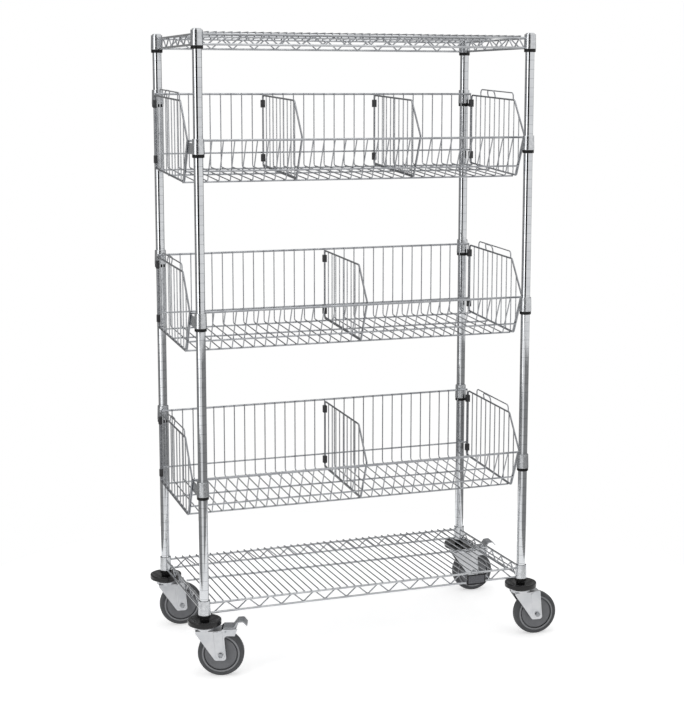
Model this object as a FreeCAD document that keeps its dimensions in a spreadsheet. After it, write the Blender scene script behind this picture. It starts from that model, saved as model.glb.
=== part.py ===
# Mobile wire shelving rack: four grooved posts on swivel casters carry two flat wire shelves and
# three sloped wire baskets with clip-in dividers.
# Millimetres, +Z up, the front faces -Y, the origin is on the floor midway between the posts.
import FreeCAD, Part
import math
import os
import re

import Sketcher
from FreeCAD import Placement, Rotation, Vector

# Driving dimensions in millimetres, degrees and counts. Diameters are outside ones.
SIZES = {
    # Plan, over the collars
    "shelf_length": "990",
    "shelf_depth": "470",
    # Posts
    "post_diameter": "25.4",
    "post_wall": "1.4",
    "post_length": "1575",
    "post_foot_height": "160",
    "groove_pitch": "25.4",
    "groove_top_margin": "21",
    "groove_foot_margin": "29.5",
    "groove_depth": "0.8",
    "groove_width": "1.8",
    "cap_rise": "3",
    "cap_edge": "1",
    "cap_plug_length": "12",
    # Levels: a basket's back collars, as a share of the way from the bottom shelf to the top one,
    # and how many grooves lower its front collars are
    "lower_basket_share": "0.3",
    "middle_basket_share": "0.6",
    "upper_basket_share": "0.9",
    "basket_drop_grooves": "5",
    # Collars and the split sleeves in them
    "collar_height": "40",
    "collar_top_diameter": "31.6",
    "collar_bottom_diameter": "34",
    "collar_wall": "1.5",
    "sleeve_tail": "9",
    "sleeve_split": "6",
    "sleeve_rib_reach": "0.6",
    "sleeve_rib_width": "1.4",
    # Fits: between welded or seated pieces, and between pieces that turn on each other
    "seat_gap": "0.05",
    "turn_gap": "0.06",
    # Shelves
    "rail_diameter": "6",
    "truss_height": "27",
    "zigzag_diameter": "3.8",
    "zigzag_pitch": "64",
    "zigzag_bend": "5",
    "deck_wire_diameter": "3.8",
    "deck_wire_pitch": "21.3",
    "deck_drop": "5",
    # Baskets
    "basket_overhang": "15",
    "rim_wire_diameter": "6",
    "long_wire_diameter": "4.8",
    "cross_wire_diameter": "3.2",
    "cross_wire_pitch": "31.75",
    "basket_bend": "8",
    "back_rim_drop": "12",
    "back_middle_drop": "180",
    "floor_back_drop": "220",
    "floor_front_drop": "243",
    "floor_back_inset": "14",
    "floor_middle_depth": "135",
    "floor_front_inset": "18",
    "lip_setback": "53",
    "lip_rise": "-4",
    "front_lean": "49",
    "wall_wire_share": "0.74",
    "hanger_thickness": "3",
    "hanger_height": "29",
    # End panels and dividers
    "panel_wire_diameter": "5",
    "panel_rod_diameter": "3.2",
    "panel_rod_pitch": "32",
    "panel_drop": "15.5",
    "panel_top_fall": "13.5",
    "panel_front_lean": "68",
    "loop_wire_diameter": "3.6",
    "loop_height": "20",
    "loop_back": "64",
    "loop_bend": "10",
    "hook_back": "116",
    "hook_width": "48",
    "hook_lean": "4",
    "upper_divider_offset": "173",
    "centre_divider_offset": "16",
    # Clips
    "clip_width": "11",
    "clip_height": "22",
    "clip_wall": "2",
    "clip_drop": "13",
    # Label holder on the bottom shelf's front edge
    "label_width": "57",
    "label_height": "29",
    "label_thickness": "3",
    "label_border": "3",
    "label_recess": "1",
    "label_card_thickness": "0.6",
    "label_lip": "2",
    "label_hang": "23",
    "label_inset": "145",
    # Casters
    "wheel_diameter": "127",
    "wheel_width": "32",
    "tyre_shoulder": "6",
    "hub_diameter": "94",
    "hub_face_diameter": "87",
    "hub_face_width": "28",
    "hub_rim_width": "22",
    "hub_boss_diameter": "25",
    "hub_boss_flare": "4",
    "axle_sleeve_diameter": "12",
    "axle_diameter": "8",
    "axle_hex": "15",
    "axle_head_height": "5.3",
    "axle_nut_height": "6.8",
    "caster_trail": "44",
    "fork_inner_width": "47",
    "fork_sheet": "3",
    "fork_crown": "3.5",
    "fork_room": "5",
    "fork_front": "24",
    "fork_front_depth": "8",
    "fork_back_lean": "7",
    "fork_leg_width": "31",
    "fork_leg_corner": "8",
    "fork_bend": "2.5",
    "race_diameter": "56",
    "race_height": "8",
    "race_chamfer": "4",
    "race_room": "1.95",
    "stem_neck_diameter": "16",
    "stem_head_diameter": "24",
    "stem_head_height": "6",
    "stem_plug_length": "45",
    "bumper_diameter": "92",
    "bumper_height": "18",
    "bumper_foot_diameter": "74",
    "bumper_rim_drop": "2",
    "bumper_rim_height": "14",
    "bumper_rim_width": "10",
    "bumper_dish": "7",
    "bumper_boss_diameter": "26",
    "bumper_boss_flare": "4",
    "bumper_edge": "3",
    "front_left_turn": "-19.5",
    "other_turn": "-6",
    # Brake pedals
    "brake_arm_reach": "46",
    "brake_arm_rise": "4",
    "brake_arm_height": "19",
    "brake_arm_start": "2",
    "pedal_pivot_reach": "14",
    "pedal_pivot_drop": "3",
    "pedal_pin_diameter": "5",
    "pedal_side_gap": "1",
    "pedal_sheet": "2.5",
    "pedal_heel": "6",
    "pedal_deck_rise": "8",
    "pedal_knee": "22",
    "pedal_reach": "59",
    "pedal_crest_rise": "28",
    "pedal_crest_length": "14",
    "pedal_ramp": "12",
    "pedal_bend": "6",
    "pedal_tip_drop": "12",
    "pedal_shoe_drop": "6.5",
}

doc = FreeCAD.newDocument("rack")
sheet = doc.addObject("Spreadsheet::Sheet", "sizes")
for row, (alias, text) in enumerate(SIZES.items(), 1):
    sheet.set(f"A{row}", alias)
    sheet.set(f"B{row}", text)
    sheet.setAlias(f"B{row}", alias)
doc.recompute()

# Places that several pieces share, as expressions of the sizes above
POST_X = "((shelf_length - collar_bottom_diameter)/2)"
POST_Y = "((shelf_depth - collar_bottom_diameter)/2)"
FORK_CROWN = "(wheel_diameter + fork_room)"
CASTER_HEIGHT = f"({FORK_CROWN} + race_height + race_room + bumper_height + seat_gap)"
CASTER_FOOT = f"(post_foot_height - {CASTER_HEIGHT})"
POST_TOP = "(post_foot_height + post_length)"
POST_BORE = "(post_diameter/2 - post_wall)"
LAST_GROOVE = "floor((post_length - groove_top_margin - groove_foot_margin)/groove_pitch)"
GROOVE_FIRST = f"(post_length - groove_top_margin - {LAST_GROOVE}*groove_pitch)"
BASE_LEVEL = f"(post_foot_height + {GROOVE_FIRST} + collar_height/2)"
BASKET_DROP = "(basket_drop_grooves*groove_pitch)"
RAIL_TOP = "(-(deck_drop + deck_wire_diameter/2 + seat_gap + rail_diameter/2))"
RAIL_LOW = f"({RAIL_TOP} - truss_height)"
BACK_RIM_Y = f"({POST_Y} - collar_bottom_diameter/2 - seat_gap - rim_wire_diameter/2)"
CROSS_Y = f"({BACK_RIM_Y} - rim_wire_diameter/2 - seat_gap - cross_wire_diameter/2)"
LIP_DEPTH = f"({CROSS_Y} + {POST_Y} - lip_setback)"
LIP_DROP = f"({BASKET_DROP} - lip_rise)"
FLOOR_DEPTH = f"({LIP_DEPTH} - front_lean)"
PANEL_X = f"({POST_X} + basket_overhang)"
PANEL_GAP = "(cross_wire_diameter/2 + seat_gap + panel_wire_diameter/2)"
AXLE_HEIGHT = "(wheel_diameter/2)"
FORK_OUTER = "(fork_inner_width + 2*fork_sheet)"
PIVOT_REACH = "(caster_trail + pedal_pivot_reach)"
PIVOT_HEIGHT = f"({FORK_CROWN} - pedal_pivot_drop)"
CORNERS = (
    ("front_left", "-", "-"),
    ("front_right", "", "-"),
    ("back_left", "-", ""),
    ("back_right", "", ""),
)
BASKETS = ("lower", "middle", "upper")
WORD = re.compile(r"[a-z][a-z_0-9]+")
# How near an edge lies to a stated place when edges are picked for rounding
NEAR = 0.1
nodes = []


def bound(text):
    """Expression text with every size pointed at the sheet."""
    return WORD.sub(lambda found: f"sizes.{found[0]}" if found[0] in SIZES else found[0], text)


def number(text):
    """Present value of an expression."""
    return float(sheet.evalExpression(bound(text)))


def level(grooves):
    """Height of a collar's top that stands the given grooves above the bottom shelf."""
    return f"({BASE_LEVEL} + {grooves}*groove_pitch)"


def keep(piece, label):
    """Names a sub-part and puts it on the list of those written out."""
    piece.Label = label
    nodes.append(piece)
    return piece


# Sketches and features of bodies


def plane(body, role):
    return next(item for item in body.Origin.OriginFeatures if item.Role == role)


def sketch_on(body, name, role, lift="0"):
    sketch = body.newObject("Sketcher::SketchObject", f"{body.Name}_{name}")
    sketch.AttachmentSupport = [(plane(body, role), "")]
    sketch.MapMode = "FlatFace"
    sketch.setExpression("AttachmentOffset.Base.z", bound(lift))
    return sketch


def hold(sketch, kind, *where, size):
    """Adds a dimension and binds it to the sheet."""
    index = sketch.addConstraint(Sketcher.Constraint(kind, *where, number(size)))
    sketch.setExpression(f"Constraints[{index}]", bound(size))


def outline(body, name, role, corners, lift="0"):
    """Closed sketch of straight sides, each corner held from the origin by the sizes."""
    sketch = sketch_on(body, name, role, lift)
    points = [Vector(number(across), number(up), 0) for across, up in corners]
    sides = list(zip(points, points[1:] + points[:1]))
    sketch.addGeometry([Part.LineSegment(start, end) for start, end in sides], False)
    for side, (across, up) in enumerate(corners):
        sketch.addConstraint(Sketcher.Constraint("Coincident", side, 2, (side + 1) % len(corners), 1))
        hold(sketch, "DistanceX", -1, 1, side, 1, size=across)
        hold(sketch, "DistanceY", -1, 1, side, 1, size=up)
    return sketch


def ring(body, name, role, centre, radius):
    """Sketch of one circle held by the sizes."""
    sketch = sketch_on(body, name, role)
    across, up = centre
    middle = Vector(number(across), number(up), 0)
    sketch.addGeometry(Part.Circle(middle, Vector(0, 0, 1), number(radius)), False)
    hold(sketch, "DistanceX", -1, 1, 0, 3, size=across)
    hold(sketch, "DistanceY", -1, 1, 0, 3, size=up)
    hold(sketch, "Radius", 0, size=radius)
    return sketch


def feature(body, kind, sketch, name):
    item = body.newObject(f"PartDesign::{kind}", f"{body.Name}_{name}")
    item.Profile = sketch
    body.Tip = item
    return item


def turn(body, sketch, name, axis="V_Axis", kind="Revolution", angle="360"):
    item = feature(body, kind, sketch, name)
    item.ReferenceAxis = (sketch, [axis])
    item.setExpression("Angle", bound(angle))
    return item


def pad(body, sketch, name, width, kind="Pad"):
    """Pad or pocket by the same amount on both sides of the sketch."""
    item = feature(body, kind, sketch, name)
    item.SideType = "Symmetric"
    item.setExpression("Length", bound(width))
    return item


def pattern(body, kind, original, name, axis):
    item = body.newObject(f"PartDesign::{kind}", f"{body.Name}_{name}")
    item.Originals = [original]
    setattr(item, "Direction" if kind == "LinearPattern" else "Axis", (plane(body, axis), [""]))
    body.Tip = item
    return item


def fillet(body, name, radius, wanted):
    """Rounds those edges of the body that wanted picks."""
    doc.recompute()
    base = body.Tip
    names = [f"Edge{index}" for index, edge in enumerate(base.Shape.Edges, 1) if wanted(edge)]
    item = body.newObject("PartDesign::Fillet", f"{body.Name}_{name}")
    item.Base = (base, names)
    item.setExpression("Radius", bound(radius))
    body.Tip = item


def new_body(name):
    return doc.addObject("PartDesign::Body", name)


# Copies, straight rods and bent wires


def place(piece, where, turned="0"):
    """Puts a piece at a place given by the sizes, turned about Z."""
    piece.Placement = Placement(Vector(), Rotation(Vector(0, 0, 1), number(turned)))
    for axis, text in zip("xyz", where):
        piece.setExpression(f"Placement.Base.{axis}", bound(text))
    return piece


def copy(master, where, turned="0"):
    item = doc.addObject("App::Link", f"{master.Name}_copy")
    item.LinkedObject = master
    return place(item, where, turned)


def group(name, members):
    item = doc.addObject("Part::Compound", name)
    item.Links = members
    return item


def rod(name, diameter, length, start, axis):
    """Straight round wire from start along X, Y or Z."""
    item = doc.addObject("Part::Cylinder", name)
    item.setExpression("Radius", bound(f"{diameter}/2"))
    item.setExpression("Height", bound(length))
    item.Placement = Placement(Vector(), Rotation(Vector(0, 0, 1), axis))
    for letter, text in zip("xyz", start):
        item.setExpression(f"Placement.Base.{letter}", bound(text))
    return item


def long_rod(name, diameter, half_length, depth, height):
    """Wire along X, centred."""
    return rod(name, diameter, f"2*{half_length}", (f"-{half_length}", depth, height), Vector(1, 0, 0))


def bent(points, diameter, bend):
    """Round wire along straight runs joined by tangent arcs."""
    edges = []
    start = points[0]
    for before, corner, after in zip(points, points[1:], points[2:]):
        into = (corner - before).normalize()
        out = (after - corner).normalize()
        half = into.getAngle(out) / 2
        setback = bend * math.tan(half)
        middle = corner + (out - into).normalize() * (bend / math.cos(half) - bend)
        edges.append(Part.LineSegment(start, corner - into * setback).toShape())
        edges.append(Part.Arc(corner - into * setback, middle, corner + out * setback).toShape())
        start = corner + out * setback
    edges.append(Part.LineSegment(start, points[-1]).toShape())
    section = Part.Wire(Part.Circle(points[0], points[1] - points[0], diameter / 2).toShape())
    return Part.Wire(edges).makePipeShell([section], True, False)


def bent_group(name, shapes):
    item = doc.addObject("Part::Feature", name)
    item.Shape = Part.makeCompound(shapes)
    return item


# Posts and caps


def make_post(label, where):
    """Tube with a ring groove at every inch."""
    body = new_body(label)
    outer = "post_diameter/2"
    tube = [(POST_BORE, "0"), (outer, "0"), (outer, "post_length"), (POST_BORE, "post_length")]
    turn(body, outline(body, "tube", "XZ_Plane", tube), "turned")
    low = f"({GROOVE_FIRST} - groove_width/2)"
    high = f"({GROOVE_FIRST} + groove_width/2)"
    root = "(post_diameter/2 - groove_depth)"
    proud = "(post_diameter/2 + groove_depth)"
    cut = outline(body, "ring", "XZ_Plane", [(root, low), (proud, low), (proud, high), (root, high)])
    grooved = turn(body, cut, "groove", kind="Groove")
    rings = pattern(body, "LinearPattern", grooved, "grooves", "Z_Axis")
    rings.Mode = "Spacing"
    rings.setExpression("Offset", bound("groove_pitch"))
    rings.setExpression("Occurrences", bound(f"{LAST_GROOVE} + 1"))
    keep(place(body, where), label)


def make_post_caps():
    body = new_body("post_cap")
    plug = f"({POST_BORE} - seat_gap)"
    outer = "post_diameter/2"
    section = [("0", "-cap_plug_length"), (plug, "-cap_plug_length"), (plug, "seat_gap"),
               (outer, "seat_gap"), (outer, "cap_edge"), (f"({outer} - cap_rise)", "cap_rise"),
               ("0", "cap_rise")]
    turn(body, outline(body, "section", "XZ_Plane", section), "turned")
    caps = [copy(body, (sx + POST_X, sy + POST_Y, POST_TOP)) for _, sx, sy in CORNERS]
    keep(group("caps", caps), "post_caps")


# Collars and split sleeves, with their origin at the collar's top


def collar_radius(depth):
    """Outside radius of a collar at a depth below its top."""
    taper = "(collar_bottom_diameter - collar_top_diameter)"
    return f"((collar_top_diameter + {taper}*({depth})/collar_height)/2)"


def make_collar():
    body = new_body("collar")
    section = [("collar_top_diameter/2 - collar_wall", "0"), ("collar_top_diameter/2", "0"),
               ("collar_bottom_diameter/2", "-collar_height"),
               ("collar_bottom_diameter/2 - collar_wall", "-collar_height")]
    turn(body, outline(body, "section", "XZ_Plane", section), "turned")
    return body


def make_sleeve():
    """Two tapered halves with a rib that sits in a post groove and a rim under the collar."""
    body = new_body("sleeve")
    bore = "(post_diameter/2 + seat_gap)"
    rib = "(post_diameter/2 - sleeve_rib_reach)"
    middle = "-collar_height/2"
    rim = "(collar_bottom_diameter/2 - collar_wall/2)"
    tail = "(-collar_height - sleeve_tail)"
    section = [(bore, "-sleeve_rib_width"),
               ("collar_top_diameter/2 - collar_wall - seat_gap", "-sleeve_rib_width"),
               ("collar_bottom_diameter/2 - collar_wall - seat_gap", "-collar_height - seat_gap"),
               (rim, "-collar_height - seat_gap"), (rim, f"{tail} + collar_wall"),
               (f"{rim} - collar_wall", tail), (bore, tail),
               (bore, f"{middle} - sleeve_rib_width/2"), (rib, f"{middle} - sleeve_rib_width/2"),
               (rib, f"{middle} + sleeve_rib_width/2"), (bore, f"{middle} + sleeve_rib_width/2")]
    half = turn(body, outline(body, "section", "XZ_Plane", section), "turned", angle="180 - sleeve_split")
    halves = pattern(body, "PolarPattern", half, "halves", "Z_Axis")
    halves.Occurrences = 2
    halves.Angle = 360
    return body


def at_posts(master, height):
    return [copy(master, (sx + POST_X, sy + POST_Y, height)) for _, sx, sy in CORNERS]


def at_basket(master, height):
    """Copies of a collar or sleeve on the four posts, the front pair lower."""
    fronts = f"({height} - {BASKET_DROP})"
    return [copy(master, (sx + POST_X, sy + POST_Y, fronts if sy else height)) for _, sx, sy in CORNERS]


# Flat shelves, with their origin at the collars' top


def zigzag_points(half_length, fixed, along_x):
    """Corners of a zigzag wire between two rails, starting and ending at the lower rail."""
    pitch = number("zigzag_pitch")
    periods = math.floor(2 * (number(half_length) - number("zigzag_bend")) / pitch)
    heights = (number(RAIL_LOW), number(RAIL_TOP))
    steps = [(step - periods) * pitch / 2 for step in range(2 * periods + 1)]
    side = number(fixed)
    if along_x:
        return [Vector(run, side, heights[step % 2]) for step, run in enumerate(steps)]
    return [Vector(side, run, heights[step % 2]) for step, run in enumerate(steps)]


def make_shelf_masters(collar):
    """Collars, edge rails, zigzag wires and deck of one shelf."""
    rails = []
    for name, height in (("upper", RAIL_TOP), ("lower", RAIL_LOW)):
        end = collar_radius(f"rail_diameter/2 - {height}")
        run_x = f"({POST_X} - {end} - seat_gap)"
        run_y = f"({POST_Y} - {end} - seat_gap)"
        for side in ("-", ""):
            rails.append(long_rod(f"{name}_long_rail", "rail_diameter", run_x, side + POST_Y, height))
            start = (side + POST_X, f"-{run_y}", height)
            rails.append(rod(f"{name}_short_rail", "rail_diameter", f"2*{run_y}", start, Vector(0, 1, 0)))
    inset = "(rail_diameter/2 + seat_gap + zigzag_diameter/2)"
    corner = "collar_bottom_diameter/2 + zigzag_diameter"
    zigzags = []
    for side in ("-", ""):
        towards = f"{side}({POST_Y} - {inset})"
        zigzags.append(zigzag_points(f"({POST_X} - {corner})", towards, True))
        towards = f"{side}({POST_X} - {inset})"
        zigzags.append(zigzag_points(f"({POST_Y} - {corner})", towards, False))
    wires = [bent(points, number("zigzag_diameter"), number("zigzag_bend")) for points in zigzags]
    span = number(f"2*({POST_X} - collar_bottom_diameter/2 - deck_wire_diameter)")
    count = math.floor(span / number("deck_wire_pitch")) + 1
    reach = f"({POST_Y} + rail_diameter/2)"
    deck = []
    for index in range(count):
        start = (f"deck_wire_pitch*({index} - {(count - 1) / 2})", f"-{reach}", "-deck_drop")
        deck.append(rod("deck_wire", "deck_wire_diameter", f"2*{reach}", start, Vector(0, 1, 0)))
    support = f"({POST_X} - {inset} - zigzag_diameter/2 - seat_gap)"
    deck.append(long_rod("support_wire", "rail_diameter", support, "0", RAIL_TOP))
    return {
        "collars": group("shelf_collar_set", at_posts(collar, "0")),
        "edge_rails": group("shelf_rail_set", rails),
        "zigzag_wires": bent_group("shelf_zigzag_set", wires),
        "deck_wires": group("shelf_deck_set", deck),
    }


# Baskets, with their origin at the back collars' top


def meet(first, second):
    """Crossing of two lines, each given by two points, as depth and height."""
    (ax, ay), (bx, by) = first
    (cx, cy), (dx, dy) = second
    reach = (cx - ax) * (dy - cy) - (cy - ay) * (dx - cx)
    share = reach / ((bx - ax) * (dy - cy) - (by - ay) * (dx - cx))
    return (ax + share * (bx - ax), ay + share * (by - ay))


def shifted(start, end, inwards):
    """Line moved to its left, seen from start to end."""
    length = math.dist(start, end)
    step = (inwards * (start[1] - end[1]) / length, inwards * (end[0] - start[0]) / length)
    return tuple((point[0] + step[0], point[1] + step[1]) for point in (start, end))


class BasketSection:
    """Side outline of a basket: depth forward of the cross wires' back run, height from back collars."""

    def __init__(self):
        self.floor_back = (0.0, -number("floor_back_drop"))
        self.floor_front = (number(FLOOR_DEPTH), -number("floor_front_drop"))
        self.lip = (number(LIP_DEPTH), -number(LIP_DROP))
        self.panel_back = (0.0, -number("panel_drop"))
        depth = number(f"{LIP_DEPTH} - panel_front_lean")
        self.panel_front = (depth, -number("panel_drop + panel_top_fall"))

    def cross_wire(self):
        top = (0.0, number("rim_wire_diameter/2 - back_rim_drop"))
        return [top, self.floor_back, self.floor_front, self.lip]

    def panel(self, inwards):
        """Corners of an end panel or divider that stands inside the cross wires by inwards."""
        back = shifted(self.panel_back, self.floor_back, inwards)
        floor = shifted(self.floor_back, self.floor_front, inwards)
        front = shifted(self.floor_front, self.lip, inwards)
        top = (self.panel_front, self.panel_back)
        slope = (self.lip, self.panel_front)
        corners = [meet(back, top), self.panel_front, meet(slope, front)]
        return corners + [meet(front, floor), meet(floor, back)]


def on_side(across, points):
    """Points of a side outline, set at a place along the basket."""
    back = number(CROSS_Y)
    return [Vector(across, back - depth, height) for depth, height in points]


def height_at(depth, corners):
    """Height of a run of straight lines at a depth."""
    for start, end in zip(corners, corners[1:]):
        if start[0] <= depth <= end[0]:
            return start[1] + (end[1] - start[1]) * (depth - start[0]) / (end[0] - start[0])
    raise ValueError("depth lies outside the outline")


def panel_wires(section, across, inwards):
    """Frame wire, butt-welded in the middle of its back run, and the upright rods in it."""
    back_top, front_top, lip, floor_front, floor_back = section.panel(inwards)
    joint = (back_top[1] + floor_back[1]) / 2
    start = (back_top[0], joint + number("seat_gap"))
    end = (back_top[0], joint - number("seat_gap"))
    loop = [start, back_top, front_top, lip, floor_front, floor_back, end]
    frame = number("panel_wire_diameter")
    wires = [bent(on_side(across, loop), frame, number("basket_bend"))]
    pitch = number("panel_rod_pitch")
    ends = frame / 2 + number("seat_gap")
    depth = back_top[0] + pitch
    while depth < lip[0] - pitch:
        upper = height_at(depth, [back_top, front_top, lip]) - ends
        lower = height_at(depth, [floor_back, floor_front, lip]) + ends
        base = on_side(across, [(depth, lower)])[0]
        wires.append(Part.makeCylinder(number("panel_rod_diameter") / 2, upper - lower, base))
        depth += pitch
    return wires


def loop_wires(section, across, inward):
    """Upright loop on an end panel's top run and, inside it, a small arched hook that leans inwards."""
    top = [section.panel_back, section.panel_front]
    wire = number("loop_wire_diameter")
    bend = number("loop_bend")
    seat = number("panel_wire_diameter/2 + seat_gap")
    rise = number("loop_height")
    sets = ((number("loop_back"), section.panel_front[0] - number("basket_bend"), 0.0),
            (number("hook_back"), number("hook_back + hook_width"), number("hook_lean")))
    wires = []
    for back, front, lean in sets:
        foot = seat / math.cos(math.atan2(lean, rise - seat))
        feet = [(depth, height_at(depth, top) + foot) for depth in (back, front)]
        heads = [(depth, height_at(depth, top) + rise) for depth in (back, front)]
        leaning = on_side(across + inward * lean, heads)
        points = on_side(across, feet[:1]) + leaning + on_side(across, feet[1:])
        wires.append(bent(points, wire, bend))
    return wires


def cross_wire_places():
    """Places of the cross wires along the basket, evenly spaced between the end panels."""
    outermost = number(f"{PANEL_X} - {PANEL_GAP}")
    steps = round(2 * outermost / number("cross_wire_pitch"))
    return [outermost * (2 * step / steps - 1) for step in range(steps + 1)]


def nearest_wire(offset):
    return min(cross_wire_places(), key=lambda place_x: abs(place_x - offset))


def long_wires():
    """Rims and the wires of back wall, floor and front wall, all outside the cross wires."""
    half = f"({PANEL_X} - panel_wire_diameter/2 - seat_gap)"
    step = "(cross_wire_diameter/2 + seat_gap + long_wire_diameter/2)"
    wires = [long_rod("back_rim", "rim_wire_diameter", half, BACK_RIM_Y, "-back_rim_drop")]
    behind = f"{CROSS_Y} + {step}"
    wires.append(long_rod("back_middle", "long_wire_diameter", half, behind, "-back_middle_drop"))
    slope = f"((floor_front_drop - floor_back_drop)/{FLOOR_DEPTH})"
    front = f"({FLOOR_DEPTH} - floor_front_inset)"
    for depth in ("floor_back_inset", "floor_middle_depth", front):
        height = f"-(floor_back_drop + {slope}*{depth} + {step})"
        wires.append(long_rod("floor_wire", "long_wire_diameter", half, f"{CROSS_Y} - {depth}", height))
    rise = f"(floor_front_drop - {LIP_DROP})"
    wall = f"sqrt(front_lean^2 + {rise}^2)"
    for name, diameter, share in (("wall_wire", "long_wire_diameter", "wall_wire_share"),
                                  ("lip", "rim_wire_diameter", "0")):
        out = f"(cross_wire_diameter/2 + seat_gap + {diameter}/2)"
        depth = f"({LIP_DEPTH} - {share}*front_lean + {out}*{rise}/{wall})"
        height = f"-({LIP_DROP} + {share}*{rise} + {out}*front_lean/{wall})"
        wires.append(long_rod(name, diameter, half, f"{CROSS_Y} - {depth}", height))
    return wires


def make_hanger():
    """Plate from a front collar to the basket's front corner; its origin is on the post at collar top."""
    body = new_body("hanger")
    offset = "(basket_overhang - panel_wire_diameter/2 - seat_gap - hanger_thickness)"
    near = f"(sqrt((collar_bottom_diameter/2)^2 - {offset}^2) + seat_gap)"
    under = "(collar_height - hanger_height)"
    rise = f"(floor_front_drop - {LIP_DROP})"
    lean = f"(front_lean/{rise})"
    clear = f"((cross_wire_diameter/2 + seat_gap)*sqrt(front_lean^2 + {rise}^2)/{rise})"
    section = [(near, f"-{under}"), (f"lip_setback + {lean}*({under} + lip_rise) - {clear}", f"-{under}"),
               (f"lip_setback + {lean}*(collar_height + lip_rise) - {clear}", "-collar_height"),
               (near, "-collar_height")]
    pad(body, outline(body, "section", "YZ_Plane", section), "plate", "hanger_thickness")
    return body


def make_clip():
    """Block with a slot round a cross wire, at its origin, and the panel wire in front of it."""
    body = new_body("clip")
    half = "clip_width/2"
    back = "(cross_wire_diameter/2 + seat_gap)"
    front = f"-({PANEL_GAP} + panel_wire_diameter/2 + seat_gap)"
    slot = "(panel_wire_diameter/2 + seat_gap)"
    block = [(f"-{half}", f"{front} - clip_wall"), (half, f"{front} - clip_wall"),
             (half, f"{back} + clip_wall"), (f"-{half}", f"{back} + clip_wall")]
    pad(body, outline(body, "block", "XY_Plane", block), "moulding", "clip_height")
    hole = [(f"-{slot}", front), (slot, front), (slot, back), (f"-{slot}", back)]
    pad(body, outline(body, "hole", "XY_Plane", hole), "slot", "2*clip_height", kind="Pocket")
    return body


def clip_pair(clip, across, turned):
    """Upper and lower clip on the back edge of a panel or divider."""
    upper = "-(panel_drop + clip_drop + clip_height/2)"
    lower = "-(back_middle_drop + long_wire_diameter/2 + clip_wall + clip_height/2)"
    return [copy(clip, (across, CROSS_Y, height), turned) for height in (upper, lower)]


def make_baskets(collar, sleeve):
    section = BasketSection()
    hanger = make_hanger()
    clip = make_clip()
    wire = bent(on_side(0.0, section.cross_wire()), number("cross_wire_diameter"), number("basket_bend"))
    hanger_x = f"({PANEL_X} - panel_wire_diameter/2 - seat_gap - hanger_thickness/2)"
    hangers = [copy(hanger, (side + hanger_x, f"-{POST_Y}", f"-{BASKET_DROP}")) for side in ("-", "")]
    crosses = [wire.translated(Vector(across, 0, 0)) for across in cross_wire_places()]
    end = number(PANEL_X)
    left_wires = panel_wires(section, -end, 0.0) + loop_wires(section, -end, 1)
    right_wires = panel_wires(section, end, 0.0) + loop_wires(section, end, -1)
    masters = {
        "collars": group("basket_collar_set", at_basket(collar, "0") + hangers),
        "cross_wires": bent_group("cross_wire_set", crosses),
        "long_wires": group("long_wire_set", long_wires()),
        "left_end": bent_group("left_end_set", left_wires),
        "right_end": bent_group("right_end_set", right_wires),
    }
    inner = number(PANEL_GAP)
    upper = nearest_wire(number("upper_divider_offset"))
    centre = nearest_wire(number("centre_divider_offset"))
    dividers = {
        "upper": {"left_divider": -upper, "right_divider": upper},
        "middle": {"divider": centre},
        "lower": {"divider": centre},
    }
    end_wire = f"({PANEL_X} - {PANEL_GAP})"
    sleeves = []
    for name in BASKETS:
        height = level(f"round({name}_basket_share*{LAST_GROOVE})")
        for piece, master in masters.items():
            keep(copy(master, ("0", "0", height)), f"{name}_basket_{piece}")
        clips = clip_pair(clip, f"-{end_wire}", "-90") + clip_pair(clip, end_wire, "90")
        for piece, across in dividers[name].items():
            shapes = bent_group(f"{name}_{piece}_set", panel_wires(section, across, inner))
            keep(place(shapes, ("0", "0", height)), f"{name}_basket_{piece}")
            clips += clip_pair(clip, str(across), "0")
        clip_set = group(f"{name}_clip_set", clips)
        keep(place(clip_set, ("0", "0", height)), f"{name}_basket_clips")
        sleeves += at_basket(sleeve, height)
    keep(group("basket_sleeve_set", sleeves), "basket_sleeves")


# Label holder


def make_label():
    """Blank holder that grips the bottom shelf's lower front rail, with a card in its face."""
    holder = new_body("label_holder")
    grip = "(rail_diameter/2 + seat_gap)"
    face = f"(-{grip} - label_thickness)"
    top = "label_hang"
    bottom = "(label_hang - label_height)"
    rear = f"-{grip}"
    lips = f"({grip} + label_lip)"
    section = [(face, bottom), (rear, bottom), (rear, f"-{lips}"), ("0", f"-{lips}"), ("0", rear),
               (rear, rear), (rear, grip), ("0", grip), ("0", lips), (rear, lips), (rear, top), (face, top)]
    pad(holder, outline(holder, "section", "YZ_Plane", section), "strip", "label_width")
    half = "(label_width/2 - label_border)"
    low = f"({bottom} + label_border)"
    high = f"({top} - label_border)"
    window = [(f"-{half}", low), (half, low), (half, high), (f"-{half}", high)]
    recess = outline(holder, "window", "XZ_Plane", window, f"-{face}")
    pad(holder, recess, "recess", "2*label_recess", kind="Pocket")
    card = new_body("label_card")
    half = f"({half} - seat_gap)"
    low = f"({low} + seat_gap)"
    high = f"({high} - seat_gap)"
    back = f"({face} + label_recess - seat_gap)"
    front = f"({back} - label_card_thickness)"
    blank = [(front, low), (back, low), (back, high), (front, high)]
    pad(card, outline(card, "section", "YZ_Plane", blank), "sheet", f"2*{half}")
    where = (f"{POST_X} - label_inset", f"-{POST_Y}", f"{BASE_LEVEL} + {RAIL_LOW}")
    keep(place(holder, where), "label_holder")
    keep(place(card, where), "label_card")


# Casters, with their origin on the floor under the swivel and the wheel trailing along +X


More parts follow.
